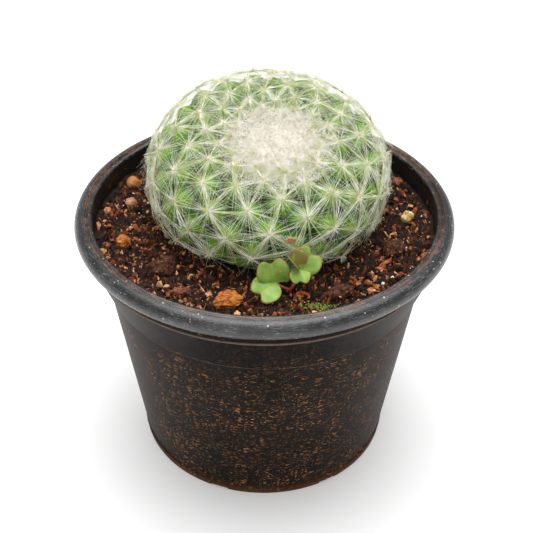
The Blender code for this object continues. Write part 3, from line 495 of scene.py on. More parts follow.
def spots(add, cells, least, widest, gain):
    """The random numbers of Voronoi cells, and a mask of one spot in each cell whose number is high."""
    draw = add("ShaderNodeSeparateColor", {"Color": cells.outputs["Color"]})
    size = add("ShaderNodeMapRange", {"Value": draw.outputs[0], "From Min": least, "To Max": widest})
    inside = add("ShaderNodeMath", {0: size, 1: cells.outputs["Distance"]}, operation="SUBTRACT")
    return draw, add("ShaderNodeMath", {0: inside, 1: gain}, operation="MULTIPLY", use_clamp=True)


def stained(add, tone, mask, patches, code):
    """The tone, with a stain of this colour over it where both masks are strong."""
    share = add("ShaderNodeMath", {0: mask, 1: patches}, operation="MULTIPLY")
    return add("ShaderNodeMix", {0: share, 6: tone, 7: linear(code)}, data_type="RGBA")


def flecks(add, sheet, length, height, share, shift):
    """A mask of short level dashes on the unrolled wall, from cells that are wide and low."""
    stretch = add(
        "ShaderNodeMapping",
        {"Vector": sheet, "Location": shift, "Scale": (1.0 / length, 1.0 / height, 1.0)},
    )
    cells = add("ShaderNodeTexVoronoi", {"Vector": stretch, "Scale": 1.0}, voronoi_dimensions="2D")
    draw, edged = spots(add, cells, 1.0 - share, 0.36, 9.0)
    return add("ShaderNodeMath", {0: edged, 1: draw.outputs[1]}, operation="MULTIPLY")


def band(add, value, middle, half, strength):
    """A mask that is strongest where the value is at the middle and gone at half the width from it."""
    off = add("ShaderNodeMath", {0: value, 1: middle}, operation="SUBTRACT")
    away = add("ShaderNodeMath", {0: off}, operation="ABSOLUTE")
    return add(
        "ShaderNodeMapRange", {"Value": away, "From Min": half, "From Max": 0.4 * half, "To Max": strength}
    )


def wall_polypropylene(settings):
    """Moulded polypropylene, weathered: near-black satin under rust-brown splashes of soil water."""
    material, add, shader = new_material("polypropylene_moulded_wall", 0.5, 1.49, Specular_IOR_Level=0.04)
    place = add("ShaderNodeTexCoord").outputs["Object"]
    arc, _, height = unrolled(add, place)
    wander = add("ShaderNodeTexNoise", {"Vector": place, "Scale": 170.0, "Detail": 3.0})
    strewn = add(
        "ShaderNodeVectorMath", {0: wander.outputs["Color"], 1: (7.0 * MM, 4.0 * MM, 0.0)},
        operation="MULTIPLY",
    )
    level = add("ShaderNodeCombineXYZ", {"X": arc, "Y": height})
    sheet = add("ShaderNodeVectorMath", {0: level, 1: strewn}, operation="ADD")
    dashes = flecks(add, sheet, 2.3 * MM, 0.46 * MM, 0.5, (3.1, 7.0, 0.0))
    for length, low, share, shift in (
        (1.6 * MM, 0.38 * MM, 0.55, (11.3, 2.4, 0.0)), (0.95 * MM, 0.31 * MM, 0.5, (5.7, 17.1, 0.0))
    ):
        dashes = add(
            "ShaderNodeMath", {0: dashes, 1: flecks(add, sheet, length, low, share, shift)},
            operation="MAXIMUM",
        )
    # fewest on the collar, most towards the foot
    crowd = add(
        "ShaderNodeMapRange",
        {"Value": height, "From Min": 0.058, "From Max": 0.046, "To Min": 0.22, "To Max": 1.0},
    )
    patches = add("ShaderNodeTexNoise", {"Vector": place, "Scale": 110.0, "Detail": 4.0})
    patchy = add(
        "ShaderNodeMapRange",
        {"Value": patches, "From Min": 0.36, "From Max": 0.6, "To Min": 0.3, "To Max": 1.05},
    )
    mask = add(
        "ShaderNodeMath",
        {0: add("ShaderNodeMath", {0: dashes, 1: crowd}, operation="MULTIPLY"), 1: patchy},
        operation="MULTIPLY",
    )
    cloud = add("ShaderNodeTexNoise", {"Vector": place, "Scale": 90.0, "Detail": 8.0, "Roughness": 0.75})
    body = add(
        "ShaderNodeValToRGB", {"Fac": cloud}, stops=[(0.38, "#080706"), (0.66, settings.wall_colour)]
    )
    # a thin film of dried splash between the dashes
    film_place = add("ShaderNodeMapping", {"Vector": sheet, "Scale": (900.0, 3200.0, 1.0)})
    film = add("ShaderNodeTexNoise", {"Vector": film_place, "Scale": 1.0, "Detail": 3.0})
    film_mask = add(
        "ShaderNodeMapRange", {"Value": film, "From Min": 0.54, "From Max": 0.74, "To Max": 0.24}
    )
    filmed = stained(add, body, film_mask, crowd, "#6a4a33")
    fleck_tone = add(
        "ShaderNodeValToRGB", {"Fac": wander}, stops=[(0.35, "#8a5630"), (0.62, settings.fleck_colour)]
    )
    speckled = add("ShaderNodeMix", {0: mask, 6: filmed, 7: fleck_tone}, data_type="RGBA")
    # pale lines along the edges of the ledge under the rim and of the kink
    ledges = add(
        "ShaderNodeMath",
        {
            0: band(add, height, COLLAR_TOP - 0.55 * MM, 0.42 * MM, 0.75),
            1: band(add, height, KINK_HEIGHT + 0.2 * MM, 0.35 * MM, 0.3),
        },
        operation="MAXIMUM",
    )
    ledged = stained(add, speckled, ledges, cloud, "#a88f80")
    dust_height = add(
        "ShaderNodeMapRange", {"Value": height, "From Min": 0.0042, "From Max": 0.0, "To Max": 0.75}
    )
    dusty = stained(add, ledged, dust_height, cloud, "#7d5233")
    rough = add("ShaderNodeMapRange", {"Value": mask, "To Min": settings.wall_roughness, "To Max": 0.85})
    grain = add("ShaderNodeTexNoise", {"Vector": place, "Scale": 1400.0, "Detail": 2.0})
    lift = add("ShaderNodeMath", {0: mask, 1: grain}, operation="ADD")
    bump = add("ShaderNodeBump", {"Strength": 0.6, "Distance": 0.00008, "Height": lift})
    feed(shader, {"Base Color": dusty, "Roughness": rough, "Normal": bump})
    return material


def rim_polypropylene(settings):
    """The same plastic where hands and hoses rub it: blue-grey, with pale scuffs and dust in the groove."""
    material, add, shader = new_material("polypropylene_worn_rim", 0.36, 1.49, Specular_IOR_Level=0.8)
    place = add("ShaderNodeTexCoord").outputs["Object"]
    arc, reach, height = unrolled(add, place)
    cloud = add("ShaderNodeTexNoise", {"Vector": place, "Scale": 160.0, "Detail": 7.0, "Roughness": 0.7})
    body = add("ShaderNodeValToRGB", {"Fac": cloud}, stops=[(0.42, "#060708"), (0.64, settings.rim_colour)])
    # scuffs run along the rim: 1.5 mm long and a quarter of a millimetre wide
    ribbon = add("ShaderNodeCombineXYZ", {"X": arc, "Y": reach, "Z": height})
    drawn = add("ShaderNodeMapping", {"Vector": ribbon, "Scale": (650.0, 4200.0, 4200.0)})
    scratch = add("ShaderNodeTexNoise", {"Vector": drawn, "Scale": 1.0, "Detail": 5.0, "Roughness": 0.8})
    scuff = add("ShaderNodeMapRange", {"Value": scratch, "From Min": 0.52, "From Max": 0.66, "To Max": 0.9})
    worn = add("ShaderNodeMapRange", {"Value": cloud, "From Min": 0.44, "From Max": 0.64, "To Max": 0.5})
    scuffed = stained(add, body, scuff, worn, "#c2c0be")
    specks = add("ShaderNodeTexVoronoi", {"Vector": place, "Scale": 1050.0})
    draw, dots = spots(add, specks, 0.76, 0.36, 10.0)
    dot_tone = add(
        "ShaderNodeValToRGB", {"Fac": draw.outputs[1]}, stops=[(0.45, "#9a6a48"), (0.6, "#a9a39c")]
    )
    dotted = add("ShaderNodeMix", {0: dots, 6: scuffed, 7: dot_tone}, data_type="RGBA")
    # dust lies in the groove between the roll and the bead
    near = band(add, reach, RIM_RADIUS - GROOVE_DUST_INSET, 0.6 * MM, 1.0)
    patch = add(
        "ShaderNodeMapRange",
        {"Value": cloud, "From Min": 0.46, "From Max": 0.6, "To Min": 0.15, "To Max": 0.85},
    )
    dusty = stained(add, dotted, near, patch, "#7c4c2c")
    rough = add(
        "ShaderNodeMapRange",
        {"Value": scratch, "From Min": 0.38, "From Max": 0.66, "To Min": 0.14, "To Max": 0.4},
    )
    bump = add("ShaderNodeBump", {"Strength": 0.6, "Distance": 0.00016, "Height": scratch})
    feed(shader, {"Base Color": dusty, "Roughness": rough, "Normal": bump})
    return material


def inner_polypropylene():
    """The shaded inside of the wall: black, spattered with soil thrown up by watering."""
    material, add, shader = new_material("polypropylene_inner_wall", 0.5, 1.49)
    place = add("ShaderNodeTexCoord").outputs["Object"]
    specks = add("ShaderNodeTexVoronoi", {"Vector": place, "Scale": 520.0})
    draw, dots = spots(add, specks, 0.55, 0.42, 8.0)
    tone = add("ShaderNodeValToRGB", {"Fac": draw.outputs[1]}, stops=[(0.3, "#3a2114"), (0.9, "#96532a")])
    mixed = add("ShaderNodeMix", {0: dots, 6: linear("#0d0b0a"), 7: tone}, data_type="RGBA")
    bump = add("ShaderNodeBump", {"Strength": 0.6, "Distance": 0.0003, "Height": dots})
    feed(shader, {"Base Color": mixed, "Normal": bump})
    return material


def build_pot(settings):
    """Turns the pot, cuts its holes and notches and finishes it."""
    mesh = turned_pot_mesh(settings.sides)
    pot = link_piece(
        "pot_shell", mesh, wall_polypropylene(settings), rim_polypropylene(settings), inner_polypropylene()
    )
    helpers = []
    for index in range(DRAIN_HOLES):
        angle = 2.0 * math.pi * index / DRAIN_HOLES
        place = (DRAIN_CIRCLE_RADIUS * math.cos(angle), DRAIN_CIRCLE_RADIUS * math.sin(angle))
        helpers.append(drill_mesh(DRAIN_HOLE_RADIUS, 0.5 * MM, 5.0 * MM, 32, place))
    for index in range(FOOT_NOTCHES):
        helpers.append(notch_mesh(FIRST_NOTCH_ANGLE + 2.0 * math.pi * index / FOOT_NOTCHES))
    cut(pot, helpers)
    pot.data.shade_smooth()
    pot.data.set_sharp_from_angle(angle=math.radians(50.0))
    finish_piece(pot, "pot", "pot")


# Globe

def globe_profile(steps=360):
    """(radius, height) from the crown to the underside, in the globe's own frame, at the tubercle tips."""
    profile = []
    for step in range(steps + 1):
        angle = math.pi / 2.0 - math.pi * step / steps
        above = angle >= 0.0
        fullness = SHOULDER_FULLNESS if above else UNDERSIDE_FULLNESS
        half_height = CROWN_HEIGHT if above else UNDERSIDE_DEPTH
        radius = GLOBE_RADIUS * max(math.cos(angle), 0.0) ** (2.0 / fullness)
        height = half_height * math.copysign(abs(math.sin(angle)) ** (2.0 / fullness), math.sin(angle))
        if above:
            height -= CROWN_DIMPLE_DEPTH * math.exp(-((radius / CROWN_DIMPLE_RADIUS) ** 2))
        profile.append((radius, height))
    return profile


def globe_frame():
    """From the globe's own frame to the world."""
    lean = Matrix.Rotation(LEAN_TO_RIGHT, 4, "Y") @ Matrix.Rotation(LEAN_TO_FRONT, 4, "X")
    return Matrix.Translation(GLOBE_CENTRE) @ lean


def spacing_at(radius, height):
    """Distance between areoles: close on the crown, full-grown from the shoulder down."""
    if height < 0.0:
        return FULL_SPACING
    share = ease(radius, YOUNG_RADIUS, FULL_GROWN_RADIUS)
    return YOUNG_SPACING + (FULL_SPACING - YOUNG_SPACING) * share


def areole_places():
    """One (point, outward direction, spacing) for each areole, on a golden-angle spiral from the crown."""
    profile = globe_profile()
    places = []
    counted = 0.0
    for (radius_a, height_a), (radius_b, height_b) in zip(profile, profile[1:]):
        radius = (radius_a + radius_b) / 2.0
        height = (height_a + height_b) / 2.0
        run = math.hypot(radius_b - radius_a, height_b - height_a)
        counted += 2.0 * math.pi * radius * run / (HEXAGON_SHARE * spacing_at(radius, height) ** 2)
        while counted > len(places) + 0.5:
            angle = FIRST_AREOLE_ANGLE - len(places) * GOLDEN_ANGLE
            around = Vector((math.cos(angle), math.sin(angle), 0.0))
            outward = around * (height_a - height_b) / run
            outward.z = (radius_b - radius_a) / run
            point = around * radius
            point.z = height
            places.append((point, outward.normalized(), spacing_at(radius, height)))
    return places


def is_bare(place):
    """Whether this areole lies in the soil or close over it, or faces straight down."""
    point, outward, _ = place
    return (globe_frame() @ point).z < LOWEST_AREOLE or outward.z < LOWEST_FACING


def neighbour_pairs(places):
    """Pairs of areoles next to each other, from the triangles that join them on a sphere."""
    form = bmesh.new()
    corners = []
    for point, _, _ in places:
        half_height = CROWN_HEIGHT if point.z > 0.0 else UNDERSIDE_DEPTH
        place = Vector((point.x / GLOBE_RADIUS, point.y / GLOBE_RADIUS, point.z / half_height)).normalized()
        corners.append(form.verts.new(place))
    form.verts.index_update()
    index_of = {corner: index for index, corner in enumerate(corners)}
    bmesh.ops.convex_hull(form, input=corners)
    pairs = set()
    for edge in form.edges:
        first, second = sorted(index_of[corner] for corner in edge.verts)
        span = (places[first][0] - places[second][0]).length
        if span < LONGEST_STRAND and not is_bare(places[first]) and not is_bare(places[second]):
            pairs.add((first, second))
    form.free()
    return sorted(pairs)


def body_rows(rows):
    """Rows of (radius, height, outward radius, outward height) at even steps along the globe's profile."""
    profile = np.array(globe_profile(2400))
    steps = np.hypot(*np.diff(profile, axis=0).T)
    along = np.concatenate([[0.0], np.cumsum(steps)])
    flare = along[np.nonzero((profile[:, 0] > ROOT_FLARE_RADIUS))[0][-1]]
    stations = np.linspace(0.0, flare, rows)
    radius = np.interp(stations, along, profile[:, 0])
    height = np.interp(stations, along, profile[:, 1])
    slope_radius = np.gradient(radius, stations)
    slope_height = np.gradient(height, stations)
    return np.stack([radius, height, -slope_height, slope_radius], axis=1)


def cactus_body_mesh(settings, places):
    """The green body: a rounded nipple under every areole, with creases where two of them meet."""
    rows = body_rows(settings.body_rows)
    columns = settings.body_columns
    turn = np.arange(columns) * 2.0 * math.pi / columns
    radius, height, out_radius, out_height = (rows[1:, column][:, None] for column in range(4))
    cosine, sine = np.cos(turn)[None, :], np.sin(turn)[None, :]
    level = 0.0 * cosine
    base = np.stack([radius * cosine, radius * sine, height + level], axis=-1).reshape(-1, 3)
    outward = np.stack([out_radius * cosine, out_radius * sine, out_height + level], axis=-1).reshape(-1, 3)
    tips = np.array([place[0] for place in places])
    spacing = np.array([place[2] for place in places])
    bare = np.array([is_bare(place) for place in places])
    nearest = np.full(len(base), 9.0)
    owner = np.zeros(len(base), dtype=int)
    for index in range(len(places)):
        share = np.linalg.norm(base - tips[index], axis=1) / spacing[index]
        closer = share < nearest
        nearest[closer] = share[closer]
        owner[closer] = index
    away = np.minimum(nearest / TUBERCLE_REACH, 1.0)
    valley = np.maximum(VALLEY_SHARE_OF_SPACING * spacing[owner] * 1.15, SHALLOWEST_VALLEY)
    sink = TUBERCLE_TOP_DROP + (valley - TUBERCLE_TOP_DROP) * away ** 1.7
    sink = np.where(bare[owner], BURIED_DROP, sink)
    skin = base - outward * sink[:, None]
    for index in range(len(skin)):
        skin[index] += outward[index] * SKIN_RIPPLE * noise.noise(Vector(skin[index]) / SKIN_RIPPLE_SIZE)
    # nearness to a tubercle's tip; the skin turns it into painted light on the tips and painted shade in the
    # creases
    swell = 1.0 - away
    age = np.clip(-base[:, 2] / UNDERSIDE_DEPTH, 0.0, 1.0)
    crown = skin[:columns].mean(axis=0)
    root = np.array(
        [(ROOT_RADIUS * math.cos(angle), ROOT_RADIUS * math.sin(angle), -ROOT_DEPTH) for angle in turn]
    )
    tip = np.array([(0.0, 0.0, -ROOT_DEPTH)])
    points = np.concatenate([[crown], skin, root, tip])
    mesh = mesh_from("cactus_body", points, turned_faces(columns, len(points[1:-1]) // columns))
    store(mesh, "swell", np.concatenate([[0.6], swell, np.zeros(columns + 1)]))
    store(mesh, "age", np.concatenate([[0.0], age, np.ones(columns + 1)]))
    mesh.transform(globe_frame())
    return mesh


def cactus_skin(settings):
    """Living waxy skin: lime painted where light fills the tubercles, deep green painted shade in the
    creases, duller with age.
    """
    material, add, shader = new_material(
        "cactus_waxy_skin", 0.42, 1.42, Subsurface_Weight=0.12, Subsurface_Radius=(1.0, 1.4, 0.4),
        Subsurface_Scale=1.2 * MM,
    )
    swell = add("ShaderNodeAttribute", attribute_name="swell").outputs["Fac"]
    age = add("ShaderNodeAttribute", attribute_name="age").outputs["Fac"]
    place = add("ShaderNodeTexCoord").outputs["Object"]
    cloud = add("ShaderNodeTexNoise", {"Vector": place, "Scale": 160.0, "Detail": 4.0})
    blotch_and_lit_tips = add("ShaderNodeMath", {0: cloud, 1: 0.5, 2: swell}, operation="MULTIPLY_ADD")
    # painted light and shade: lime painted near the tubercle tips, deep green painted shade in the creases
    tone = add(
        "ShaderNodeValToRGB", {"Fac": blotch_and_lit_tips},
        stops=[(0.25, settings.shaded_crease_colour), (0.6, "#3f7404"), (1.0, settings.lit_skin_colour)],
    )
    aged = add("ShaderNodeMath", {0: age, 1: 0.8}, operation="MULTIPLY")
    mixed = add("ShaderNodeMix", {0: aged, 6: tone, 7: linear("#7c7a3c")}, data_type="RGBA")
    grain = add("ShaderNodeTexNoise", {"Vector": place, "Scale": 1800.0, "Detail": 2.0})
    bump = add("ShaderNodeBump", {"Strength": 0.4, "Distance": 0.0001, "Height": grain})
    feed(shader, {"Base Color": mixed, "Normal": bump})
    return material


def build_cactus_body(settings):
    """Raises the green body and finishes it."""
    body = link_piece("cactus_body", cactus_body_mesh(settings, areole_places()), cactus_skin(settings))
    finish_piece(body, "cactus_skin", "cactus_stem")


# Spines

def waves(add, frequency, detail, size):
    """An offset of this size that differs from place to place."""
    here = add("GeometryNodeInputPosition")
    cloud = add("ShaderNodeTexNoise", {"Vector": here, "Scale": frequency, "Detail": detail})
    centred = add(
        "ShaderNodeVectorMath", {0: cloud.outputs["Color"], 1: (0.5, 0.5, 0.5)}, operation="SUBTRACT"
    )
    return add("ShaderNodeVectorMath", {0: centred, "Scale": size}, operation="SCALE")


def spine_tree():
    """Fine tapered hairs from points that carry outward, aim, reach and hairs."""
    tree, add, given = new_tree(
        "feather_spines",
        [
            ("Side Spread", "Float", math.pi), ("Least Rise", "Float", -0.05), ("Most Rise", "Float", 0.35),
            ("Shortest", "Float", 0.6), ("Longest", "Float", 1.1), ("Root Radius", "Float", 0.08 * MM),
            ("Tip Radius", "Float", 0.025 * MM), ("Root Scatter", "Float", 0.25 * MM),
            ("Fall", "Float", 0.0), ("Wave", "Float", 0.2 * MM), ("Points", "Int", 4),
            ("Ceiling", "Float", 1.0), ("Seed", "Int", 1), ("Material", "Material", None),
        ],
    )
    outward, aim, reach, hairs = (
        add("GeometryNodeInputNamedAttribute", {"Name": name}, data_type=kind)
        for name, kind in (
            ("outward", "FLOAT_VECTOR"), ("aim", "FLOAT_VECTOR"), ("reach", "FLOAT"), ("hairs", "FLOAT")
        )
    )
    copies = add(
        "GeometryNodeDuplicateElements", {"Geometry": given["Geometry"], "Amount": hairs}, domain="POINT"
    )
    draws = []
    for shift, (low, high) in enumerate(
        (
            (-1.0, 1.0), (given["Least Rise"], given["Most Rise"]), (given["Shortest"], given["Longest"]),
            (0.0, 1.0),
        ),
    ):
        seed = add("ShaderNodeMath", {0: given["Seed"], 1: 10.0 * (shift + 1)}, operation="ADD")
        draws.append(add("FunctionNodeRandomValue", {2: low, 3: high, "Seed": seed}, data_type="FLOAT"))
    yaw = add("ShaderNodeMath", {0: draws[0], 1: given["Side Spread"]}, operation="MULTIPLY")
    rise = draws[1]
    length = add("ShaderNodeMath", {0: draws[2], 1: reach}, operation="MULTIPLY")
    across = add(
        "ShaderNodeVectorMath",
        {0: add("ShaderNodeVectorMath", {0: outward, 1: aim}, operation="CROSS_PRODUCT")},
        operation="NORMALIZE",
    )
    along = add("ShaderNodeVectorMath", {0: across, 1: outward}, operation="CROSS_PRODUCT")
    parts = []
    for vector, trig in ((along, "COSINE"), (across, "SINE")):
        share = add("ShaderNodeMath", {0: yaw}, operation=trig)
        parts.append(add("ShaderNodeVectorMath", {0: vector, "Scale": share}, operation="SCALE"))
    level = add("ShaderNodeVectorMath", {0: parts[0], 1: parts[1]}, operation="ADD")
    flat = add(
        "ShaderNodeVectorMath", {0: level, "Scale": add("ShaderNodeMath", {0: rise}, operation="COSINE")},
        operation="SCALE",
    )
    up = add(
        "ShaderNodeVectorMath", {0: outward, "Scale": add("ShaderNodeMath", {0: rise}, operation="SINE")},
        operation="SCALE",
    )
    way = add("ShaderNodeVectorMath", {0: flat, 1: up}, operation="ADD")
    scatter = add(
        "ShaderNodeVectorMath",
        {
            0: level,
            "Scale": add("ShaderNodeMath", {0: draws[3], 1: given["Root Scatter"]}, operation="MULTIPLY"),
        },
        operation="SCALE",
    )
    rooted = add("GeometryNodeSetPosition", {"Geometry": copies, "Offset": scatter})
    kept = add(
        "GeometryNodeStoreNamedAttribute", {"Geometry": rooted, "Name": "span", "Value": length},
        data_type="FLOAT", domain="POINT",
    )
    strand = add("GeometryNodeCurvePrimitiveLine", {"Start": (0.0, 0.0, 0.0), "End": (0.0, 0.0, 1.0)})
    fine = add("GeometryNodeResampleCurve", {"Curve": strand, "Count": given["Points"]})
    turn = add("FunctionNodeAlignRotationToVector", {"Vector": way}, axis="Z")
    size = add("ShaderNodeCombineXYZ", {"X": length, "Y": length, "Z": length})
    placed = add(
        "GeometryNodeInstanceOnPoints", {"Points": kept, "Instance": fine, "Rotation": turn, "Scale": size}
    )
    real = add("GeometryNodeRealizeInstances", {"Geometry": placed})
    share = add("GeometryNodeSplineParameter").outputs["Factor"]
    span = add("GeometryNodeInputNamedAttribute", {"Name": "span"}, data_type="FLOAT")
    travelled = add("ShaderNodeMath", {0: share, 1: span}, operation="MULTIPLY")
    squared = add("ShaderNodeMath", {0: travelled, 1: travelled}, operation="MULTIPLY")
    drop = add("ShaderNodeMath", {0: squared, 1: given["Fall"]}, operation="MULTIPLY")
    negative = add("ShaderNodeMath", {0: drop, 1: -1.0}, operation="MULTIPLY")
    sagging = add("ShaderNodeVectorMath", {0: outward, "Scale": negative}, operation="SCALE")
    strength = add("ShaderNodeMath", {0: share, 1: given["Wave"]}, operation="MULTIPLY")
    doubled = add("ShaderNodeMath", {0: strength, 1: 4.0}, operation="MULTIPLY")
    wavy = waves(add, 260.0, 1.0, doubled)
    shift = add("ShaderNodeVectorMath", {0: sagging, 1: wavy}, operation="ADD")
    bent = add("GeometryNodeSetPosition", {"Geometry": real, "Offset": shift})
    radius = add(
        "ShaderNodeMapRange",
        {"Value": share, "To Min": given["Root Radius"], "To Max": given["Tip Radius"]},
    )
    ring = add("GeometryNodeCurvePrimitiveCircle", {"Resolution": 3, "Radius": 1.0})
    tube = add(
        "GeometryNodeCurveToMesh",
        {"Curve": bent, "Profile Curve": ring.outputs["Curve"], "Scale": radius, "Fill Caps": True},
    )
    settled = add("GeometryNodeInputPosition")
    split = add("ShaderNodeSeparateXYZ", {"Vector": settled})
    capped = add("ShaderNodeMath", {0: split.outputs["Z"], 1: given["Ceiling"]}, operation="MINIMUM")
    level_place = add(
        "ShaderNodeCombineXYZ", {"X": split.outputs["X"], "Y": split.outputs["Y"], "Z": capped}
    )
    under = add("GeometryNodeSetPosition", {"Geometry": tube, "Position": level_place})
    smooth = add("GeometryNodeSetShadeSmooth", {"Geometry": under})
    solid = add("GeometryNodeRealizeInstances", {"Geometry": smooth})
    done = add("GeometryNodeSetMaterial", {"Geometry": solid, "Material": given["Material"]})
    add("NodeGroupOutput", {"Geometry": done})
    return tree


def spine_roots(name, entries):
    """A cloud of points in the world, each (point, outward, aim, reach, hairs) in the globe's own frame."""
    place = globe_frame()
    turn = place.to_3x3()
    mesh = bpy.data.meshes.new(name)
    mesh.from_pydata([tuple(place @ entry[0]) for entry in entries], [], [])
    store(mesh, "outward", [tuple(turn @ entry[1]) for entry in entries], "FLOAT_VECTOR")
    store(mesh, "aim", [tuple(turn @ entry[2]) for entry in entries], "FLOAT_VECTOR")
    store(mesh, "reach", [entry[3] for entry in entries])
    store(mesh, "hairs", [entry[4] for entry in entries])
    return mesh


def spine_fibre(name, lower_tone, tip_colour):
    """Dry papery plant hair, matt and bright, in two tones mixed by noise; on the white spines the greenish
    tone is painted light, the green behind seen through thin hair.
    """
    material, add, shader = new_material(name, 0.55, 1.45)
    place = add("ShaderNodeTexCoord").outputs["Object"]
    cloud = add("ShaderNodeTexNoise", {"Vector": place, "Scale": 500.0, "Detail": 2.0})
    tone = add("ShaderNodeValToRGB", {"Fac": cloud}, stops=[(0.35, lower_tone), (0.6, tip_colour)])
    feed(shader, {"Base Color": tone})
    return material


def areole_tangent(outward, angle):
    """A direction along the skin at this angle round the areole."""
    side = outward.orthogonal().normalized()
    across = outward.cross(side)
    return side * math.cos(angle) + across * math.sin(angle)


def grow_spines(name, entries, values, *nodes):
    """Grows hairs on these roots and finishes the piece."""
    tree = bpy.data.node_groups["feather_spines"]
    piece = grown(name, spine_roots(name, entries), tree, values, [values["Material"]])
    finish_piece(piece, "spines", *nodes)


def build_spines(settings):
    """Grows the stars of radial spines, the fringe over the soil and the bundles between areoles."""
    places = areole_places()
    spine_tree()
    # the greenish lower tone is painted light: the green body seen through the thin white hairs
    white = spine_fibre("spine_fibre_white", linear("#cdd596"), settings.spine_colour)
    draw = random.Random(settings.seed)
    stars = []
    fringe = []
    rise = globe_frame().to_3x3().inverted() @ Vector((0.0, 0.0, 1.0))
    for place in places:
        point, outward, spacing = place
        if is_bare(place) or spacing < STAR_SPACING:
            continue
        # low areoles keep their spines close, clear of the soil
        low = ease((globe_frame() @ point).z, FRINGE_LOW, FRINGE_HIGH)
        by_size = 0.7 + 0.3 * spacing / FULL_SPACING
        by_height = 0.42 + 0.58 * ease(point.z, 0.0, 15.0 * MM)
        hairs = settings.hairs_per_areole * by_size * by_height
        aim = areole_tangent(outward, draw.uniform(0.0, 6.28))
        reach = spacing * settings.spine_share * (0.55 + 0.45 * low)
        if low < 0.6:
            uphill = (rise - outward * rise.dot(outward)).normalized()
            fringe.append((point + outward * 0.15 * MM, outward, uphill, reach * 1.3, int(hairs * 0.8)))
        else:
            stars.append((point + outward * 0.15 * MM, outward, aim, reach, int(hairs)))
    common = {"Ceiling": CEILING, "Material": white, "Fall": 0.5 / (GLOBE_RADIUS * 1.15)}
    for half, name in enumerate(("radial_spines_upper", "radial_spines_lower")):
        chosen = [entry for entry in stars if (entry[0].z > UPPER_STARS) == (half == 0)]
        values = common | {
            "Seed": settings.seed + half, "Least Rise": -0.14, "Most Rise": 0.10, "Shortest": 0.35,
            "Longest": 1.25, "Root Radius": settings.spine_radius,
            "Tip Radius": settings.spine_radius * 0.5, "Wave": 0.15 * MM, "Root Scatter": 0.35 * MM,
            "Points": 3,
        }
        grow_spines(name, chosen, values, *(("spine_net",) if half == 0 else ()))
    grow_spines("fringe_spines", fringe, values | {"Seed": settings.seed + 5, "Side Spread": 1.75})
    bundles = []
    for first, second in neighbour_pairs(places):
        for start, end in ((first, second), (second, first)):
            point, outward, spacing = places[start]
            if spacing < BUNDLE_SPACING or draw.random() < MISSING_BUNDLES:
                continue
            way = places[end][0] - point
            strands = settings.bundle_hairs * draw.uniform(0.35, 1.3)
            bundles.append((point + outward * 0.2 * MM, outward, way, way.length, int(strands)))
    values = common | {
        "Seed": settings.seed + 7, "Side Spread": 0.15, "Least Rise": -0.06, "Most Rise": 0.06,
        "Shortest": 0.75, "Points": 3, "Longest": 1.08, "Root Radius": settings.spine_radius * 1.35,
        "Tip Radius": settings.spine_radius * 0.8, "Wave": 0.1 * MM, "Root Scatter": 0.2 * MM,
        "Fall": 0.5 / (GLOBE_RADIUS * 1.7),
    }
    grow_spines("spine_bundles", bundles, values)


def crown_level(away):
    """Height and slope of the wool's base this far from the pole, with the dimple nearly filled."""
    profile = np.array([row for row in globe_profile(1200) if row[1] > 0.0])
    radii = np.array([away, away + 0.2 * MM])
    heights = np.interp(radii, profile[:, 0], profile[:, 1])
    heights += CROWN_FILL * np.exp(-((radii / CROWN_DIMPLE_RADIUS) ** 2))
    return float(heights[0]), float(heights[1] - heights[0]) / (0.2 * MM)


def crown_spots(reach, spacing):
    """A tighter spiral over the crown, each (point, outward, distance from the wool's middle)."""
    spots = []
    index = 0
    while True:
        radius = spacing * 0.53 * math.sqrt(index + 0.5)
        if radius > reach:
            return spots
        angle = index * GOLDEN_ANGLE
        place = Vector((math.cos(angle), math.sin(angle), 0.0)) * radius + CROWN_SHIFT
        height, slope = crown_level(place.length)
        outward = (Vector((0.0, 0.0, 1.0)) - place * (slope / place.length)).normalized()
        spots.append((place + Vector((0.0, 0.0, height)), outward, radius))
        index += 1


def crown_cushion_mesh(reach):
    """A lens of felt that closes the gaps between the roots of the crown's wool."""
    rings, sides = 14, 56
    points = []
    for thickness in (0.0, CUSHION_THICKNESS):
        for ring in range(rings + 1):
            share = ring / rings
            for side in range(sides):
                angle = 2.0 * math.pi * side / sides
                away = max(reach * share, 0.01 * MM)
                place = Vector((math.cos(angle), math.sin(angle), 0.0)) * away + CROWN_SHIFT
                height = crown_level(place.length)[0] - 0.75 * MM - 1.2 * MM * share ** 4
                points.append(place + Vector((0.0, 0.0, height - thickness * (1.0 - share ** 2))))
    layer = (rings + 1) * sides
    faces = [tuple(range(sides)), tuple(range(layer, layer + sides))]
    for start in (0, layer):
        for ring in range(rings):
            for side in range(sides):
                low = start + ring * sides
                following = (side + 1) % sides
                faces.append((low + side, low + sides + side, low + sides + following, low + following))
    mesh = mesh_from("crown_cushion", points, faces)
    form = bmesh.new()
    form.from_mesh(mesh)
    bmesh.ops.remove_doubles(form, verts=form.verts, dist=0.000001)
    bmesh.ops.recalc_face_normals(form, faces=form.faces)
    form.to_mesh(mesh)
    form.free()
    mesh.transform(globe_frame())
    return mesh


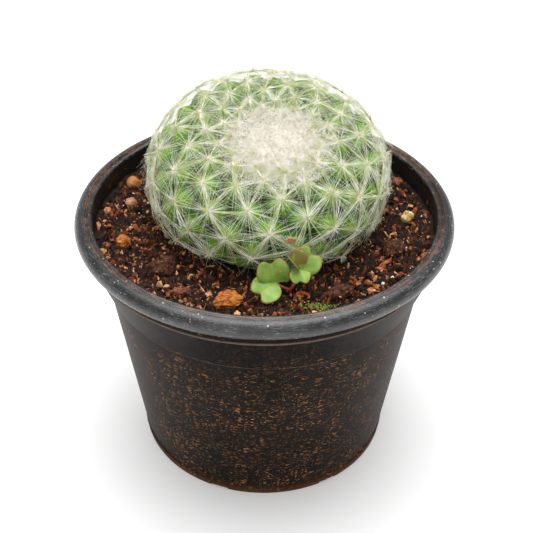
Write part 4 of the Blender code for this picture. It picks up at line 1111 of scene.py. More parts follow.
def build_crown(settings):
    """The woolly crown: many young areoles whose short spines close up into a cream cushion."""
    cream = spine_fibre("spine_fibre_cream", linear("#efe9da"), settings.crown_colour)
    draw = random.Random(settings.seed + 40)
    entries = []
    for point, outward, radius in crown_spots(settings.crown_reach, WOOL_SPACING):
        old = ease(radius, 0.38 * settings.crown_reach, settings.crown_reach)
        aim = areole_tangent(outward, draw.uniform(0.0, 6.28))
        hairs = int((54 - 43 * old) * draw.uniform(1.0 - 0.6 * old, 1.0 + 0.3 * old))
        sunk = point - outward * (0.4 + 0.6 * old) * MM
        entries.append((sunk, outward, aim, (0.95 + 1.7 * old) * MM, hairs))
    values = {
        "Seed": settings.seed + 50, "Least Rise": -0.05, "Most Rise": 0.8, "Shortest": 0.5, "Longest": 1.0,
        "Root Radius": 0.058 * MM, "Tip Radius": 0.028 * MM, "Wave": 0.1 * MM, "Root Scatter": 0.6 * MM,
        "Points": 3, "Ceiling": CEILING, "Material": cream,
    }
    cushion = link_piece("crown_cushion", crown_cushion_mesh(0.62 * settings.crown_reach), cream)
    finish_piece(cushion, "spines")
    grow_spines("crown_wool", entries, values)


def areole_tree():
    """A felt cushion on each areole."""
    tree, add, given = new_tree(
        "areole_felt", [("Radius", "Float", 0.5 * MM), ("Seed", "Int", 1), ("Material", "Material", None)]
    )
    ball = add("GeometryNodeMeshIcoSphere", {"Radius": 1.0, "Subdivisions": 2})
    outward = add("GeometryNodeInputNamedAttribute", {"Name": "outward"}, data_type="FLOAT_VECTOR")
    turn = add("FunctionNodeAlignRotationToVector", {"Vector": outward}, axis="Z")
    stretch = add(
        "FunctionNodeRandomValue", {0: (0.7, 0.7, 0.5), 1: (1.2, 1.2, 0.9), "Seed": given["Seed"]},
        data_type="FLOAT_VECTOR",
    )
    size = add("ShaderNodeVectorMath", {0: stretch, "Scale": given["Radius"]}, operation="SCALE")
    placed = add(
        "GeometryNodeInstanceOnPoints",
        {"Points": given["Geometry"], "Instance": ball, "Rotation": turn, "Scale": size},
    )
    real = add("GeometryNodeRealizeInstances", {"Geometry": placed})
    push = waves(add, 2600.0, 1.0, 0.4 * MM)
    rough = add("GeometryNodeSetPosition", {"Geometry": real, "Offset": push})
    smooth = add("GeometryNodeSetShadeSmooth", {"Geometry": rough})
    done = add("GeometryNodeSetMaterial", {"Geometry": smooth, "Material": given["Material"]})
    add("NodeGroupOutput", {"Geometry": done})
    return tree


def build_areoles(settings):
    """Tan felt at every areole, with a tuft of short upright spines."""
    felt = spine_fibre("areole_felt", linear("#c9a583"), settings.areole_colour)
    white = bpy.data.materials["spine_fibre_white"]
    draw = random.Random(settings.seed + 80)
    felts = []
    tufts = []
    for place in areole_places():
        point, outward, spacing = place
        if is_bare(place):
            continue
        aim = areole_tangent(outward, draw.uniform(0.0, 6.28))
        if spacing > FELT_SPACING:
            felts.append((point + outward * 0.1 * MM, outward, aim, 0.0, 1))
            tufts.append((point + outward * 0.1 * MM, outward, aim, 1.7 * MM, 16))
    piece = grown(
        "areole_felt", spine_roots("areole_felt", felts), areole_tree(),
        {"Radius": settings.areole_radius, "Seed": settings.seed, "Material": felt}, [felt],
    )
    finish_piece(piece, "spines")
    values = {
        "Seed": settings.seed + 90, "Least Rise": 0.25, "Most Rise": 1.35, "Shortest": 0.5, "Longest": 1.0,
        "Root Radius": 0.09 * MM, "Tip Radius": 0.035 * MM, "Wave": 0.05 * MM, "Points": 3,
        "Ceiling": CEILING, "Material": white, "Root Scatter": 0.35 * MM,
    }
    grow_spines("areole_tufts", tufts, values)


# Soil

def soil_height(x, y):
    """Height of the lumpy soil, as in the part's source."""
    reach = math.hypot(x, y)
    rise = ease(reach, LEVEL_SOIL_RADIUS, MOUTH_RADIUS)
    level = SOIL_LEVEL_AT_PLANT + (SOIL_LEVEL_AT_WALL - SOIL_LEVEL_AT_PLANT) * rise
    coarse = noise.noise(Vector((x, y, 0.0)) / SOIL_LUMP_SIZE)
    fine = noise.noise(Vector((x, y, FINE_LUMP_LAYER)) * FINE_LUMP_FREQUENCY / SOIL_LUMP_SIZE)
    settle = CALM_SOIL_SHARE + (1.0 - CALM_SOIL_SHARE) * ease(reach, CALM_SOIL_RADIUS, ROUGH_SOIL_RADIUS)
    return level + SOIL_LUMP_HEIGHT * settle * (coarse + FINE_LUMP_SHARE * fine)


def soil_bed_mesh(settings):
    """The fill of the pot with a crumbly top that dips clear of the cactus."""
    stem = bpy.data.objects["cactus_body"].data
    under = BVHTree.FromPolygons(
        [vertex.co for vertex in stem.vertices], [tuple(face.vertices) for face in stem.polygons]
    )
    sides = settings.bed_sides
    rings = settings.bed_rings
    top_radius = MOUTH_RADIUS - 0.1 * MM
    floor = FLOOR_UNDERSIDE + WALL + 0.3 * MM
    points = []
    litter = []
    for ring in range(rings):
        radius = top_radius * ((ring + 1) / rings) ** 0.62
        for side in range(sides):
            angle = 2.0 * math.pi * side / sides
            x, y = radius * math.cos(angle), radius * math.sin(angle)
            height = soil_height(x, y)
            place = Vector((x, y, height))
            grit = noise.noise(place / (1.5 * MM)) * 0.45 + noise.noise(place / (0.7 * MM)) * 0.3
            height += grit * MM
            hit = under.ray_cast(Vector((x, y, 0.0)), Vector((0.0, 0.0, 1.0)))[0]
            clear = 9.0 if hit is None else hit.z - SOIL_CLEARANCE
            points.append((x, y, min(height, clear)))
            litter.append(1.0 if clear > height + 1.5 * MM and radius < LITTER_RADIUS else 0.0)
    points.insert(0, (0.0, 0.0, min(point[2] for point in points[:sides])))
    litter.insert(0, 0.0)
    for radius, height in (
        (KINK_RADIUS - WALL - 0.4 * MM, KINK_HEIGHT), (FOOT_RADIUS - WALL - 0.3 * MM, floor + 1.0 * MM),
        (FOOT_RADIUS - WALL - 1.2 * MM, floor),
    ):
        for side in range(sides):
            angle = 2.0 * math.pi * side / sides
            points.append((radius * math.cos(angle), radius * math.sin(angle), height))
            litter.append(0.0)
    points.append((0.0, 0.0, floor))
    litter.append(0.0)
    mesh = mesh_from("soil_bed", points, turned_faces(sides, rings + 3))
    store(mesh, "litter", litter)
    return mesh


def gritty(name, stops, grain, bump_height, roughness, stretch=(1.0, 1.0, 1.0)):
    """Earth, bark and stone: a colour ramp over broken noise, with the same noise as relief."""
    material, add, shader = new_material(name, roughness, 1.5, Specular_IOR_Level=0.3)
    place = add("ShaderNodeTexCoord").outputs["Object"]
    spread = add("ShaderNodeMapping", {"Vector": place, "Scale": tuple(part / grain for part in stretch)})
    broken = add("ShaderNodeTexNoise", {"Vector": spread, "Scale": 1.0, "Detail": 6.0, "Roughness": 0.7})
    tone = add("ShaderNodeValToRGB", {"Fac": broken}, stops=stops)
    bump = add("ShaderNodeBump", {"Strength": 0.8, "Distance": bump_height, "Height": broken})
    feed(shader, {"Base Color": tone, "Normal": bump})
    return material


def crumb_finish(settings):
    """Crumbs of peat, coir and bark: each has its own tint, from wet black-brown to dry orange."""
    material, add, shader = new_material("peat_and_bark_crumbs", 0.8, 1.5, Specular_IOR_Level=0.35)
    tint = add("ShaderNodeAttribute", attribute_name="tint").outputs["Fac"]
    place = add("ShaderNodeTexCoord").outputs["Object"]
    cloud = add("ShaderNodeTexNoise", {"Vector": place, "Scale": 1500.0, "Detail": 3.0})
    stir = add("ShaderNodeMath", {0: cloud, 1: 0.5, 2: tint}, operation="MULTIPLY_ADD")
    shifted = add("ShaderNodeMath", {0: stir, 1: 0.25}, operation="SUBTRACT")
    tone = add(
        "ShaderNodeValToRGB", {"Fac": shifted},
        stops=[
            (0.1, "#0f0704"), (0.42, "#2f170c"), (0.68, "#612f17"), (0.88, settings.crumb_colour),
            (1.0, "#dca878"),
        ],
    )
    bump = add("ShaderNodeBump", {"Strength": 0.7, "Distance": 0.0002, "Height": cloud})
    feed(shader, {"Base Color": tone, "Normal": bump})
    return material


def crumb_tree():
    """Crumbs of random size, turn and tint strewn over the littered part of a surface."""
    tree, add, given = new_tree(
        "strewn_crumbs",
        [
            ("Density", "Float", 1.0e6), ("Smallest", "Float", 0.3 * MM), ("Largest", "Float", 1.0 * MM),
            ("Stretch", "Vector", (1.0, 1.0, 1.0)), ("Seed", "Int", 1), ("Material", "Material", None),
        ],
    )
    litter = add("GeometryNodeInputNamedAttribute", {"Name": "litter"}, data_type="FLOAT")
    spots = add(
        "GeometryNodeDistributePointsOnFaces",
        {
            "Mesh": given["Geometry"],
            "Density": add("ShaderNodeMath", {0: litter, 1: given["Density"]}, operation="MULTIPLY"),
            "Seed": given["Seed"],
        },
        distribute_method="RANDOM",
    )
    pick = add("FunctionNodeRandomValue", {2: 0.0, 3: 1.0, "Seed": given["Seed"]}, data_type="FLOAT")
    skew = add("ShaderNodeMath", {0: pick, 1: 2.2}, operation="POWER")
    size = add(
        "ShaderNodeMapRange", {"Value": skew, "To Min": given["Smallest"], "To Max": given["Largest"]}
    )
    shape = add(
        "FunctionNodeRandomValue", {0: (0.7, 0.35, 0.25), 1: (1.7, 0.9, 0.6), "Seed": 77},
        data_type="FLOAT_VECTOR",
    )
    drawn = add("ShaderNodeVectorMath", {0: shape, 1: given["Stretch"]}, operation="MULTIPLY")
    scale = add("ShaderNodeVectorMath", {0: drawn, "Scale": size}, operation="SCALE")
    turn = add(
        "FunctionNodeRandomValue", {0: (0.0, 0.0, 0.0), 1: (6.28, 6.28, 6.28), "Seed": 31},
        data_type="FLOAT_VECTOR",
    )
    ball = add("GeometryNodeMeshIcoSphere", {"Radius": 1.0, "Subdivisions": 1})
    placed = add(
        "GeometryNodeInstanceOnPoints",
        {"Points": spots.outputs["Points"], "Instance": ball, "Rotation": turn, "Scale": scale},
    )
    draw = add("FunctionNodeRandomValue", {2: 0.0, 3: 1.0, "Seed": 5}, data_type="FLOAT")
    tinted = add(
        "GeometryNodeStoreNamedAttribute", {"Geometry": placed, "Name": "tint", "Value": draw},
        data_type="FLOAT", domain="INSTANCE",
    )
    real = add("GeometryNodeRealizeInstances", {"Geometry": tinted})
    push = add("ShaderNodeMath", {0: given["Largest"], 1: 0.9}, operation="MULTIPLY")
    offset = waves(add, 1300.0, 2.0, push)
    rough = add("GeometryNodeSetPosition", {"Geometry": real, "Offset": offset})
    flat = add("GeometryNodeSetShadeSmooth", {"Geometry": rough, "Shade Smooth": False})
    done = add("GeometryNodeSetMaterial", {"Geometry": flat, "Material": given["Material"]})
    add("NodeGroupOutput", {"Geometry": done})
    return tree


def build_soil(settings):
    """Fills the pot and strews fine crumbs, coarse crumbs and fibres over it."""
    bed_finish = gritty(
        "peat_fines", [(0.3, "#0c0604"), (0.55, "#26140b"), (0.75, settings.soil_colour)], 1.1 * MM,
        0.5 * MM, 0.9,
    )
    bed = link_piece("soil_bed", soil_bed_mesh(settings), bed_finish)
    finish_piece(bed, "soil", "soil")
    finish = crumb_finish(settings)
    tree = crumb_tree()
    for name, density, smallest, largest, stretch, seed in (
        ("soil_crumbs_fine", settings.fine_crumbs, 0.24 * MM, 0.55 * MM, (1.0, 1.0, 1.0), 3),
        ("soil_crumbs_coarse", settings.coarse_crumbs, 0.5 * MM, 1.45 * MM, (1.0, 1.1, 1.0), 8),
        ("soil_fibres", settings.fibres, 0.45 * MM, 0.95 * MM, (2.2, 0.35, 0.4), 12),
    ):
        values = {
            "Density": density * 1.0e6, "Smallest": smallest, "Largest": largest, "Stretch": stretch,
            "Seed": seed, "Material": finish,
        }
        piece = grown(name, bed.data.copy(), tree, values, [finish])
        finish_piece(piece, "soil")


# Loose pieces on the soil

def roughened(node, name, levels, swing, grain, stretch, seed):
    """A finer, weathered copy of a CAD lump: merged, divided and pushed in and out along its normals."""
    form = bmesh.new()
    form.from_mesh(frame["nodes"][node].data)
    bmesh.ops.remove_doubles(form, verts=form.verts, dist=0.00001)
    for _ in range(levels):
        bmesh.ops.subdivide_edges(form, edges=form.edges, cuts=1, use_grid_fill=True)
        bmesh.ops.smooth_vert(
            form, verts=form.verts, factor=0.35, use_axis_x=True, use_axis_y=True, use_axis_z=True
        )
    form.normal_update()
    for vertex in form.verts:
        place = Vector(
            part * share / grain for part, share in zip(vertex.co, stretch)
        ) + Vector((seed, 0.0, 0.0))
        push = noise.noise(place) + 0.5 * noise.noise(place * 2.3)
        vertex.co += vertex.normal * push * swing
    mesh = bpy.data.meshes.new(name)
    form.to_mesh(mesh)
    form.free()
    mesh.shade_smooth()
    return mesh


def build_loose_pieces():
    """Bark, clods, clay and stone, each a rougher copy of its solid."""
    bark = gritty(
        "pine_bark_orange", [(0.34, "#3a180a"), (0.46, "#a85a22"), (0.6, "#cf8a42"), (0.75, "#ecb878")],
        1.3 * MM, 0.5 * MM, 0.8, (1.0, 2.6, 2.6),
    )
    flake = gritty(
        "pine_bark_red", [(0.3, "#2c150c"), (0.5, "#74402a"), (0.7, "#ba8468")], 1.2 * MM, 0.4 * MM, 0.8,
        (1.0, 2.0, 2.6),
    )
    clod = gritty(
        "peat_clod", [(0.32, "#1c0f09"), (0.52, "#4b2c1c"), (0.72, "#8d5c3e")], 0.8 * MM, 0.45 * MM, 0.9
    )
    clay = gritty(
        "fired_clay", [(0.3, "#8a5227"), (0.6, "#b97a45"), (0.8, "#d9a66e")], 2.4 * MM, 0.12 * MM, 0.65
    )
    stone = gritty(
        "quartz_pebble", [(0.3, "#8c5a44"), (0.55, "#c7957c"), (0.75, "#ecd2c2")], 2.2 * MM, 0.1 * MM, 0.5
    )
    pumice = gritty(
        "lichened_bark", [(0.3, "#7a5a2c"), (0.5, "#c0a45e"), (0.66, "#e8dcae"), (0.8, "#8f9a4a")],
        1.4 * MM, 0.4 * MM, 0.8,
    )
    for node, name, slot, finish, levels, swing, grain, stretch in (
        ("bark_chip", "bark_chip_worn", "bark", bark, 3, 0.55 * MM, 2.0 * MM, (1.0, 2.4, 2.4)),
        ("bark_flake", "bark_flake_worn", "bark", flake, 3, 0.4 * MM, 1.6 * MM, (1.0, 2.4, 2.0)),
        ("red_chip", "red_chip_worn", "bark", flake, 2, 0.35 * MM, 1.4 * MM, (1.0, 1.0, 1.0)),
        ("clod_left", "clod_left_gritty", "clod", clod, 3, 0.6 * MM, 1.5 * MM, (1.0, 1.0, 1.0)),
        ("clod_right", "clod_right_gritty", "clod", clod, 3, 0.5 * MM, 1.3 * MM, (1.0, 1.0, 1.0)),
        ("clod_front", "clod_front_gritty", "clod", clod, 3, 0.5 * MM, 1.3 * MM, (1.0, 1.0, 1.0)),
        ("clay_ball", "clay_ball_fired", "clay", clay, 3, 0.08 * MM, 1.6 * MM, (1.0, 1.0, 1.0)),
        ("pale_pebble", "pale_pebble_worn", "stone", stone, 3, 0.12 * MM, 1.6 * MM, (1.0, 1.0, 1.0)),
        ("pumice_chip", "pumice_chip_worn", "stone", bark, 3, 0.4 * MM, 1.3 * MM, (1.0, 1.0, 1.0)),
        ("pale_shard", "pale_shard_worn", "stone", pumice, 3, 0.45 * MM, 1.3 * MM, (1.0, 1.8, 1.0)),
    ):
        mesh = roughened(node, name, levels, swing, grain, stretch, len(name))
        finish_piece(link_piece(name, mesh, finish), slot, node)


def strew_clods(settings):
    """Grit stuck all over the clods, so that they look like pressed soil."""
    form = bmesh.new()
    for name in ("clod_left_gritty", "clod_right_gritty", "clod_front_gritty"):
        form.from_mesh(bpy.data.objects[name].data)
    base = bpy.data.meshes.new("clod_grit")
    form.to_mesh(base)
    form.free()
    store(base, "litter", [1.0] * len(base.vertices))
    finish = bpy.data.materials["peat_and_bark_crumbs"]
    values = {
        "Density": settings.clod_grit * 1.0e6, "Smallest": 0.18 * MM, "Largest": 0.45 * MM, "Seed": 21,
        "Material": finish,
    }
    piece = grown("clod_grit", base, bpy.data.node_groups["strewn_crumbs"], values, [finish])
    finish_piece(piece, "clod")


def pebble(points, faces, middle, radius, draw):
    """A small broken ball, added to the points and faces."""
    form = bmesh.new()
    bmesh.ops.create_icosphere(form, subdivisions=2, radius=radius)
    first = len(points)
    for vertex in form.verts:
        points.append(middle + vertex.co * draw.uniform(0.78, 1.12))
    for face in form.faces:
        faces.append(tuple(first + vertex.index for vertex in face.verts))
    form.free()


def build_trimmings(settings):
    """Perlite grains, a patch of moss by the wall and a curl of orange root by the seedling."""
    draw = random.Random(settings.trimming_seed)
    points, faces = [], []
    for x, y, radius in PERLITE:
        lift = Vector((0.0, 0.0, soil_height(x * MM, y * MM) + 0.7 * MM))
        pebble(points, faces, Vector((x, y, 0.0)) * MM + lift, radius * MM, draw)
    for _ in range(settings.perlite_specks):
        angle = draw.uniform(0.0, 2.0 * math.pi)
        radius = math.sqrt(draw.uniform(0.55, 0.93)) * SPECK_REACH
        x, y = radius * math.cos(angle), radius * math.sin(angle)
        pebble(
            points, faces, Vector((x, y, soil_height(x, y) + 0.75 * MM)), draw.uniform(0.16, 0.3) * MM, draw
        )
    perlite = gritty("expanded_perlite", [(0.3, "#c9bfae"), (0.6, "#f3eee4")], 0.5 * MM, 0.1 * MM, 0.8)
    piece = link_piece("perlite_grains", mesh_from("perlite_grains", points, faces, smooth=False), perlite)
    finish_piece(piece, "stone")
    curl = []
    for step in range(CURL_STEPS + 1):
        angle = math.radians(-30.0 + 300.0 * step / CURL_STEPS)
        x, y = CURL_PLACE.x + 1.5 * MM * math.cos(angle), CURL_PLACE.y + 1.2 * MM * math.sin(angle)
        curl.append(Vector((x, y, soil_height(x, y) + (0.6 + 0.05 * step) * MM)))
    half = CURL_STEPS // 2
    radii = [(0.62 - 0.4 * abs(step - half) / half) * MM for step in range(CURL_STEPS + 1)]
    root = gritty("dead_root", [(0.3, "#5e2310"), (0.6, "#b4602c")], 0.6 * MM, 0.15 * MM, 0.7)
    piece = link_piece("orange_root", mesh_from("orange_root", *stalk_points(curl, radii, 10)), root)
    finish_piece(piece, "soil")
    moss_points, moss_faces = [], []
    for _ in range(settings.moss_grains):
        x = MOSS_PLACE.x + draw.gauss(0.0, MOSS_SPREAD[0]) * MM
        y = MOSS_PLACE.y + draw.gauss(0.0, MOSS_SPREAD[1]) * MM
        if math.hypot(x, y) < MOSS_LIMIT:
            place = Vector((x, y, soil_height(x, y) + draw.uniform(0.5, 1.0) * MM))
            pebble(moss_points, moss_faces, place, draw.uniform(0.16, 0.34) * MM, draw)
    moss = gritty("living_moss", [(0.3, "#2c3a12"), (0.6, "#7f8f35")], 0.4 * MM, 0.1 * MM, 0.8)
    piece = link_piece("moss_patch", mesh_from("moss_patch", moss_points, moss_faces, smooth=False), moss)
    finish_piece(piece, "soil")


# Wood-sorrel seedling

def leaflet_point(share, fan, length, fold):
    """A point of a leaflet at this share of the way out and this angle from the midrib."""
    notch = 1.0 - NOTCH_DEPTH * math.exp(-((fan / NOTCH_HALF_ANGLE) ** 2))
    reach = length * share * notch * max(math.cos(fan), 0.0) ** LEAFLET_TAPER
    along = reach * math.cos(fan)
    across = reach * math.sin(fan)
    lift = abs(across) * math.tan(fold)
    droop = LEAFLET_DROOP * along * along / length
    return Vector((along, across * math.cos(fold), lift - droop))


def add_leaflet(points, faces, margins, veins, length, towards, facing, fold, hub, thickness):
    """One heart-shaped blade with a rounded edge, added to a leaf's points and faces."""
    steps, rings = 44, 12
    along = Vector(towards).normalized()
    up = (Vector(facing) - along * Vector(facing).dot(along)).normalized()
    place = Matrix.Translation(hub) @ Matrix((along, up.cross(along), up)).transposed().to_4x4()
    widest = LEAFLET_HALF_FAN
    first = len(points)
    for face_side in (1.0, -1.0):
        for ring in range(rings + 1):
            share = ring / rings
            for step in range(steps + 1):
                fan = -widest + 2.0 * widest * step / steps
                point = leaflet_point(share, fan, length, fold)
                thick = thickness / 2.0 * (1.0 - 0.75 * ease(share, 0.8, 1.0))
                quilt = 0.06 * MM * math.sin(9.0 * abs(fan)) * share
                rise = 0.5 * thickness * math.sin(share * 5.0 + 3.0 * fan) * 0.3
                points.append(
                    place @ Vector((point.x, point.y, point.z + face_side * thick + quilt + rise))
                )
                margins.append(share)
                veins.append(abs(math.sin(7.5 * fan)) if abs(fan) > 0.05 else 0.0)
    row = steps + 1
    layer = row * (rings + 1)
    for side in range(2):
        base = first + side * layer
        for ring in range(rings):
            for step in range(steps):
                low = base + ring * row + step
                quad = (low, low + row, low + row + 1, low + 1)
                faces.append(quad if side == 0 else tuple(reversed(quad)))
    border = [ring * row for ring in range(rings + 1)]
    border += [rings * row + step for step in range(1, row)]
    border += [ring * row + row - 1 for ring in range(rings - 1, -1, -1)]
    border += [step for step in range(row - 2, 0, -1)]
    for here, following in zip(border, border[1:] + border[:1]):
        faces.append((first + following, first + here, first + layer + here, first + layer + following))


def leaf_mesh(name, hub, leaflets, thickness):
    """Leaflets round one hub, with how far out each point is and how near a vein."""
    points, faces, margins, veins = [], [], [], []
    for length, towards, facing, fold in leaflets:
        add_leaflet(points, faces, margins, veins, length, towards, facing, fold, hub, thickness)
    mesh = bpy.data.meshes.new(name)
    mesh.from_pydata([tuple(point) for point in points], [], faces)
    store(mesh, "margin", margins)
    store(mesh, "vein", veins)
    form = bmesh.new()
    form.from_mesh(mesh)
    bmesh.ops.remove_doubles(form, verts=form.verts, dist=0.000002)
    bmesh.ops.dissolve_degenerate(form, edges=form.edges, dist=0.000001)
    bmesh.ops.recalc_face_normals(form, faces=form.faces)
    form.to_mesh(mesh)
    form.free()
    mesh.shade_smooth()
    return mesh


def sorrel_blade(name, settings, blush):
    """Thin soft leaf, lit from within, with a fine reddish margin and paler veins."""
    material, add, shader = new_material(
        name, 0.45, 1.42, Subsurface_Weight=0.3, Subsurface_Radius=(1.0, 1.2, 0.3),
        Subsurface_Scale=0.5 * MM,
    )
    margin = add("ShaderNodeAttribute", attribute_name="margin").outputs["Fac"]
    vein = add("ShaderNodeAttribute", attribute_name="vein").outputs["Fac"]
    place = add("ShaderNodeTexCoord").outputs["Object"]
    cloud = add("ShaderNodeTexNoise", {"Vector": place, "Scale": 420.0, "Detail": 4.0})
    body = add("ShaderNodeValToRGB", {"Fac": cloud}, stops=[(0.3, "#729a3a"), (0.7, settings.leaf_colour)])
    lines = add("ShaderNodeMapRange", {"Value": vein, "From Min": 0.14, "From Max": 0.0, "To Max": 0.35})
    veined = add("ShaderNodeMix", {0: lines, 6: body, 7: linear("#cfe39a")}, data_type="RGBA")
    olive = add("ShaderNodeMix", {0: blush, 6: veined, 7: linear("#8a6a3c")}, data_type="RGBA")
    edge = add("ShaderNodeMapRange", {"Value": margin, "From Min": 0.93, "From Max": 0.985, "To Max": 0.75})
    edged = add("ShaderNodeMix", {0: edge, 6: olive, 7: linear("#9a5a44")}, data_type="RGBA")
    bump = add("ShaderNodeBump", {"Strength": 0.4, "Distance": 0.0001, "Height": cloud})
    feed(shader, {"Base Color": edged, "Normal": bump})
    return material


def stalk_points(stations, radii, sides):
    """Points and faces of a round stalk through the stations."""
    points = []
    for index, station in enumerate(stations):
        before = stations[max(index - 1, 0)]
        after = stations[min(index + 1, len(stations) - 1)]
        turn = (after - before).to_track_quat("Z", "Y").to_matrix()
        for side in range(sides):
            angle = 2.0 * math.pi * side / sides
            points.append(station + turn @ Vector((math.cos(angle), math.sin(angle), 0.0)) * radii[index])
    faces = []
    for index in range(len(stations) - 1):
        for side in range(sides):
            low = index * sides
            following = (side + 1) % sides
            faces.append((low + side, low + following, low + sides + following, low + sides + side))
    faces.append(tuple(range(sides - 1, -1, -1)))
    faces.append(tuple((len(stations) - 1) * sides + side for side in range(sides)))
    return points, faces


def bowed(start, end, bow, steps):
    """Points from start to end, bowed aside in the middle."""
    line = []
    for step in range(steps + 1):
        share = step / steps
        line.append(start.lerp(end, share) + bow * math.sin(math.pi * share))
    return line


def stalk_finish():
    """Juicy red stalk, smooth, with a slight glow."""
    material, add, shader = new_material(
        "sorrel_red_stalk", 0.4, 1.42, Subsurface_Weight=0.2, Subsurface_Scale=0.5 * MM
    )
    place = add("ShaderNodeTexCoord").outputs["Object"]
    height = add("ShaderNodeSeparateXYZ", {"Vector": place}).outputs["Z"]
    share = add("ShaderNodeMapRange", {"Value": height, "From Min": 0.066, "From Max": 0.071})
    tone = add("ShaderNodeValToRGB", {"Fac": share}, stops=[(0.0, "#8e2a22"), (1.0, "#b96a5c")])
    feed(shader, {"Base Color": tone})
    return material


def build_seedling(settings):
    """Grows the leaves and stalks of the seedling, and lays the dried bud on the cactus."""
    fork = SORREL_FORK - Vector((0.0, 0.0, 0.2 * MM))
    soft = sorrel_blade("sorrel_soft_leaf", settings, 0.0)
    olive = sorrel_blade("sorrel_olive_leaf", settings, 0.75)
    for name, hub, leaflets, blade, nodes in (
        ("sorrel_leaves_left", LEFT_HUB, LEFT_LEAFLETS, soft, ("sorrel_leaf_left",)),
        ("sorrel_leaves_right", RIGHT_HUB, RIGHT_LEAFLETS[:2], soft, ("sorrel_leaf_right",)),
        ("sorrel_folded_leaflet", RIGHT_HUB, RIGHT_LEAFLETS[2:], olive, ()),
    ):
        leaf = link_piece(name, leaf_mesh(name, hub, leaflets, settings.leaf_thickness), blade)
        finish_piece(leaf, "sorrel_leaf", *nodes)
    points, faces = [], []
    for start, end, bow, thick in (
        (SORREL_ROOT, SORREL_FORK, Vector((0.3, 0.0, 0.0)), 1.0),
        (fork, LEFT_HUB, Vector((-0.2, -0.3, 0.1)), 0.85),
        (fork, RIGHT_HUB, Vector((0.3, -0.5, -0.2)), 0.85),
    ):
        line = bowed(start, end, bow * MM, STALK_STEPS)
        radii = [
            STEM_RADIUS * thick * (1.05 - 0.25 * step / STALK_STEPS) for step in range(STALK_STEPS + 1)
        ]
        more, shells = stalk_points(line, radii, 12)
        faces += [tuple(index + len(points) for index in shell) for shell in shells]
        points += more
    stem = link_piece("sorrel_stalks", mesh_from("sorrel_stalks", points, faces), stalk_finish())
    finish_piece(stem, "sorrel_stalk", "sorrel_stem")
    bud_finish = gritty(
        "dried_flower", [(0.3, "#6a4224"), (0.5, "#a87a4e"), (0.7, "#d8b288")], 0.7 * MM, 0.2 * MM, 0.8
    )
    bud = link_piece(
        "dried_bud_papery",
        roughened("dried_bud", "dried_bud_papery", 3, 0.2 * MM, 0.8 * MM, (1.0, 1.0, 2.0), 4), bud_finish,
    )
    finish_piece(bud, "dried_bud", "dried_bud")


# Stage

def add_light(name, place, target, size, power):
    """A round white area light that looks at the target."""
    data = bpy.data.lights.new(name, "AREA")
    data.shape = "DISK"
    data.size = size
    data.energy = power
    light = bpy.data.objects.new(name, data)
    bpy.context.scene.collection.objects.link(light)
    light.location = place
    light.rotation_euler = (Vector(target) - Vector(place)).to_track_quat("-Z", "Y").to_euler()


def build_stage(settings):
    """A white floor, a white room and large soft lights, with the camera at the photograph's angle."""
    scene = bpy.context.scene
    scene.view_settings.view_transform = "Standard"
    data = bpy.data.cameras.new("camera")
    data.lens = settings.camera_lens
    data.sensor_width = 36.0
    data.shift_x = CAMERA_SHIFT
    data.clip_start = 0.01
    data.clip_end = 20.0
    camera = bpy.data.objects.new("camera", data)
    scene.collection.objects.link(camera)
    tip = Matrix.Rotation(math.radians(90.0) - settings.camera_rise, 4, "X")
    roll = Matrix.Rotation(CAMERA_ROLL, 4, "Z")
    camera.matrix_world = Matrix.Translation(CAMERA_PLACE) @ tip @ roll
    scene.camera = camera
    world = bpy.data.worlds.new("white_room")
    world.use_nodes = True
    white = (1.0, 1.0, 1.0, 1.0)
    feed(world.node_tree.nodes["Background"], {"Color": white, "Strength": settings.room_light})
    scene.world = world
    for name, place, size, share in LIGHTS:
        add_light(name, place, LIGHT_TARGET, size, settings.lamp_power * share)
    material, add, shader = new_material(
        "matt_white_paper", 0.9, 1.5, Specular_IOR_Level=0.1, Emission_Strength=0.1
    )
    place = add("ShaderNodeTexCoord").outputs["Object"]
    cloud = add("ShaderNodeTexNoise", {"Vector": place, "Scale": 4.0, "Detail": 2.0})
    tone = add("ShaderNodeValToRGB", {"Fac": cloud}, stops=[(0.3, "#f4f4f4"), (0.7, settings.floor_colour)])
    feed(shader, {"Base Color": tone})
    reach = settings.floor_size / 2.0
    corners = [(-reach, -reach, 0.0), (reach, -reach, 0.0), (reach, reach, 0.0), (-reach, reach, 0.0)]
    floor = link_piece("floor", mesh_from("floor", corners, [(0, 1, 2, 3)], smooth=False), material)


# Settings that a user would change

def colour_setting(name, code, description):
    """A colour that the panel shows, from its sRGB hex code."""
    return FloatVectorProperty(
        name=name, description=description, subtype="COLOR", size=4, min=0.0, max=1.0, default=linear(code)
    )


def length_setting(name, description, length):
    """A length that the panel shows in the scene's units."""
    return FloatProperty(
        name=name, description=description, default=length, subtype="DISTANCE", unit="LENGTH"
    )


class CACTUS_PG_pot(bpy.types.PropertyGroup):
    sides: IntProperty(name="Sides", description="Faces round the pot", default=240, min=48)
    wall_colour: colour_setting("Wall", "#151210", "Lighter of the two tones of the wall")
    rim_colour: colour_setting("Rim", "#16191e", "Lighter of the two tones of the worn rim")
    fleck_colour: colour_setting("Flecks", "#c98e58", "Brightest of the soil splashes on the wall")
    wall_roughness: FloatProperty(
        name="Wall Roughness", description="Gloss of the wall", default=0.42, min=0.0, max=1.0
    )


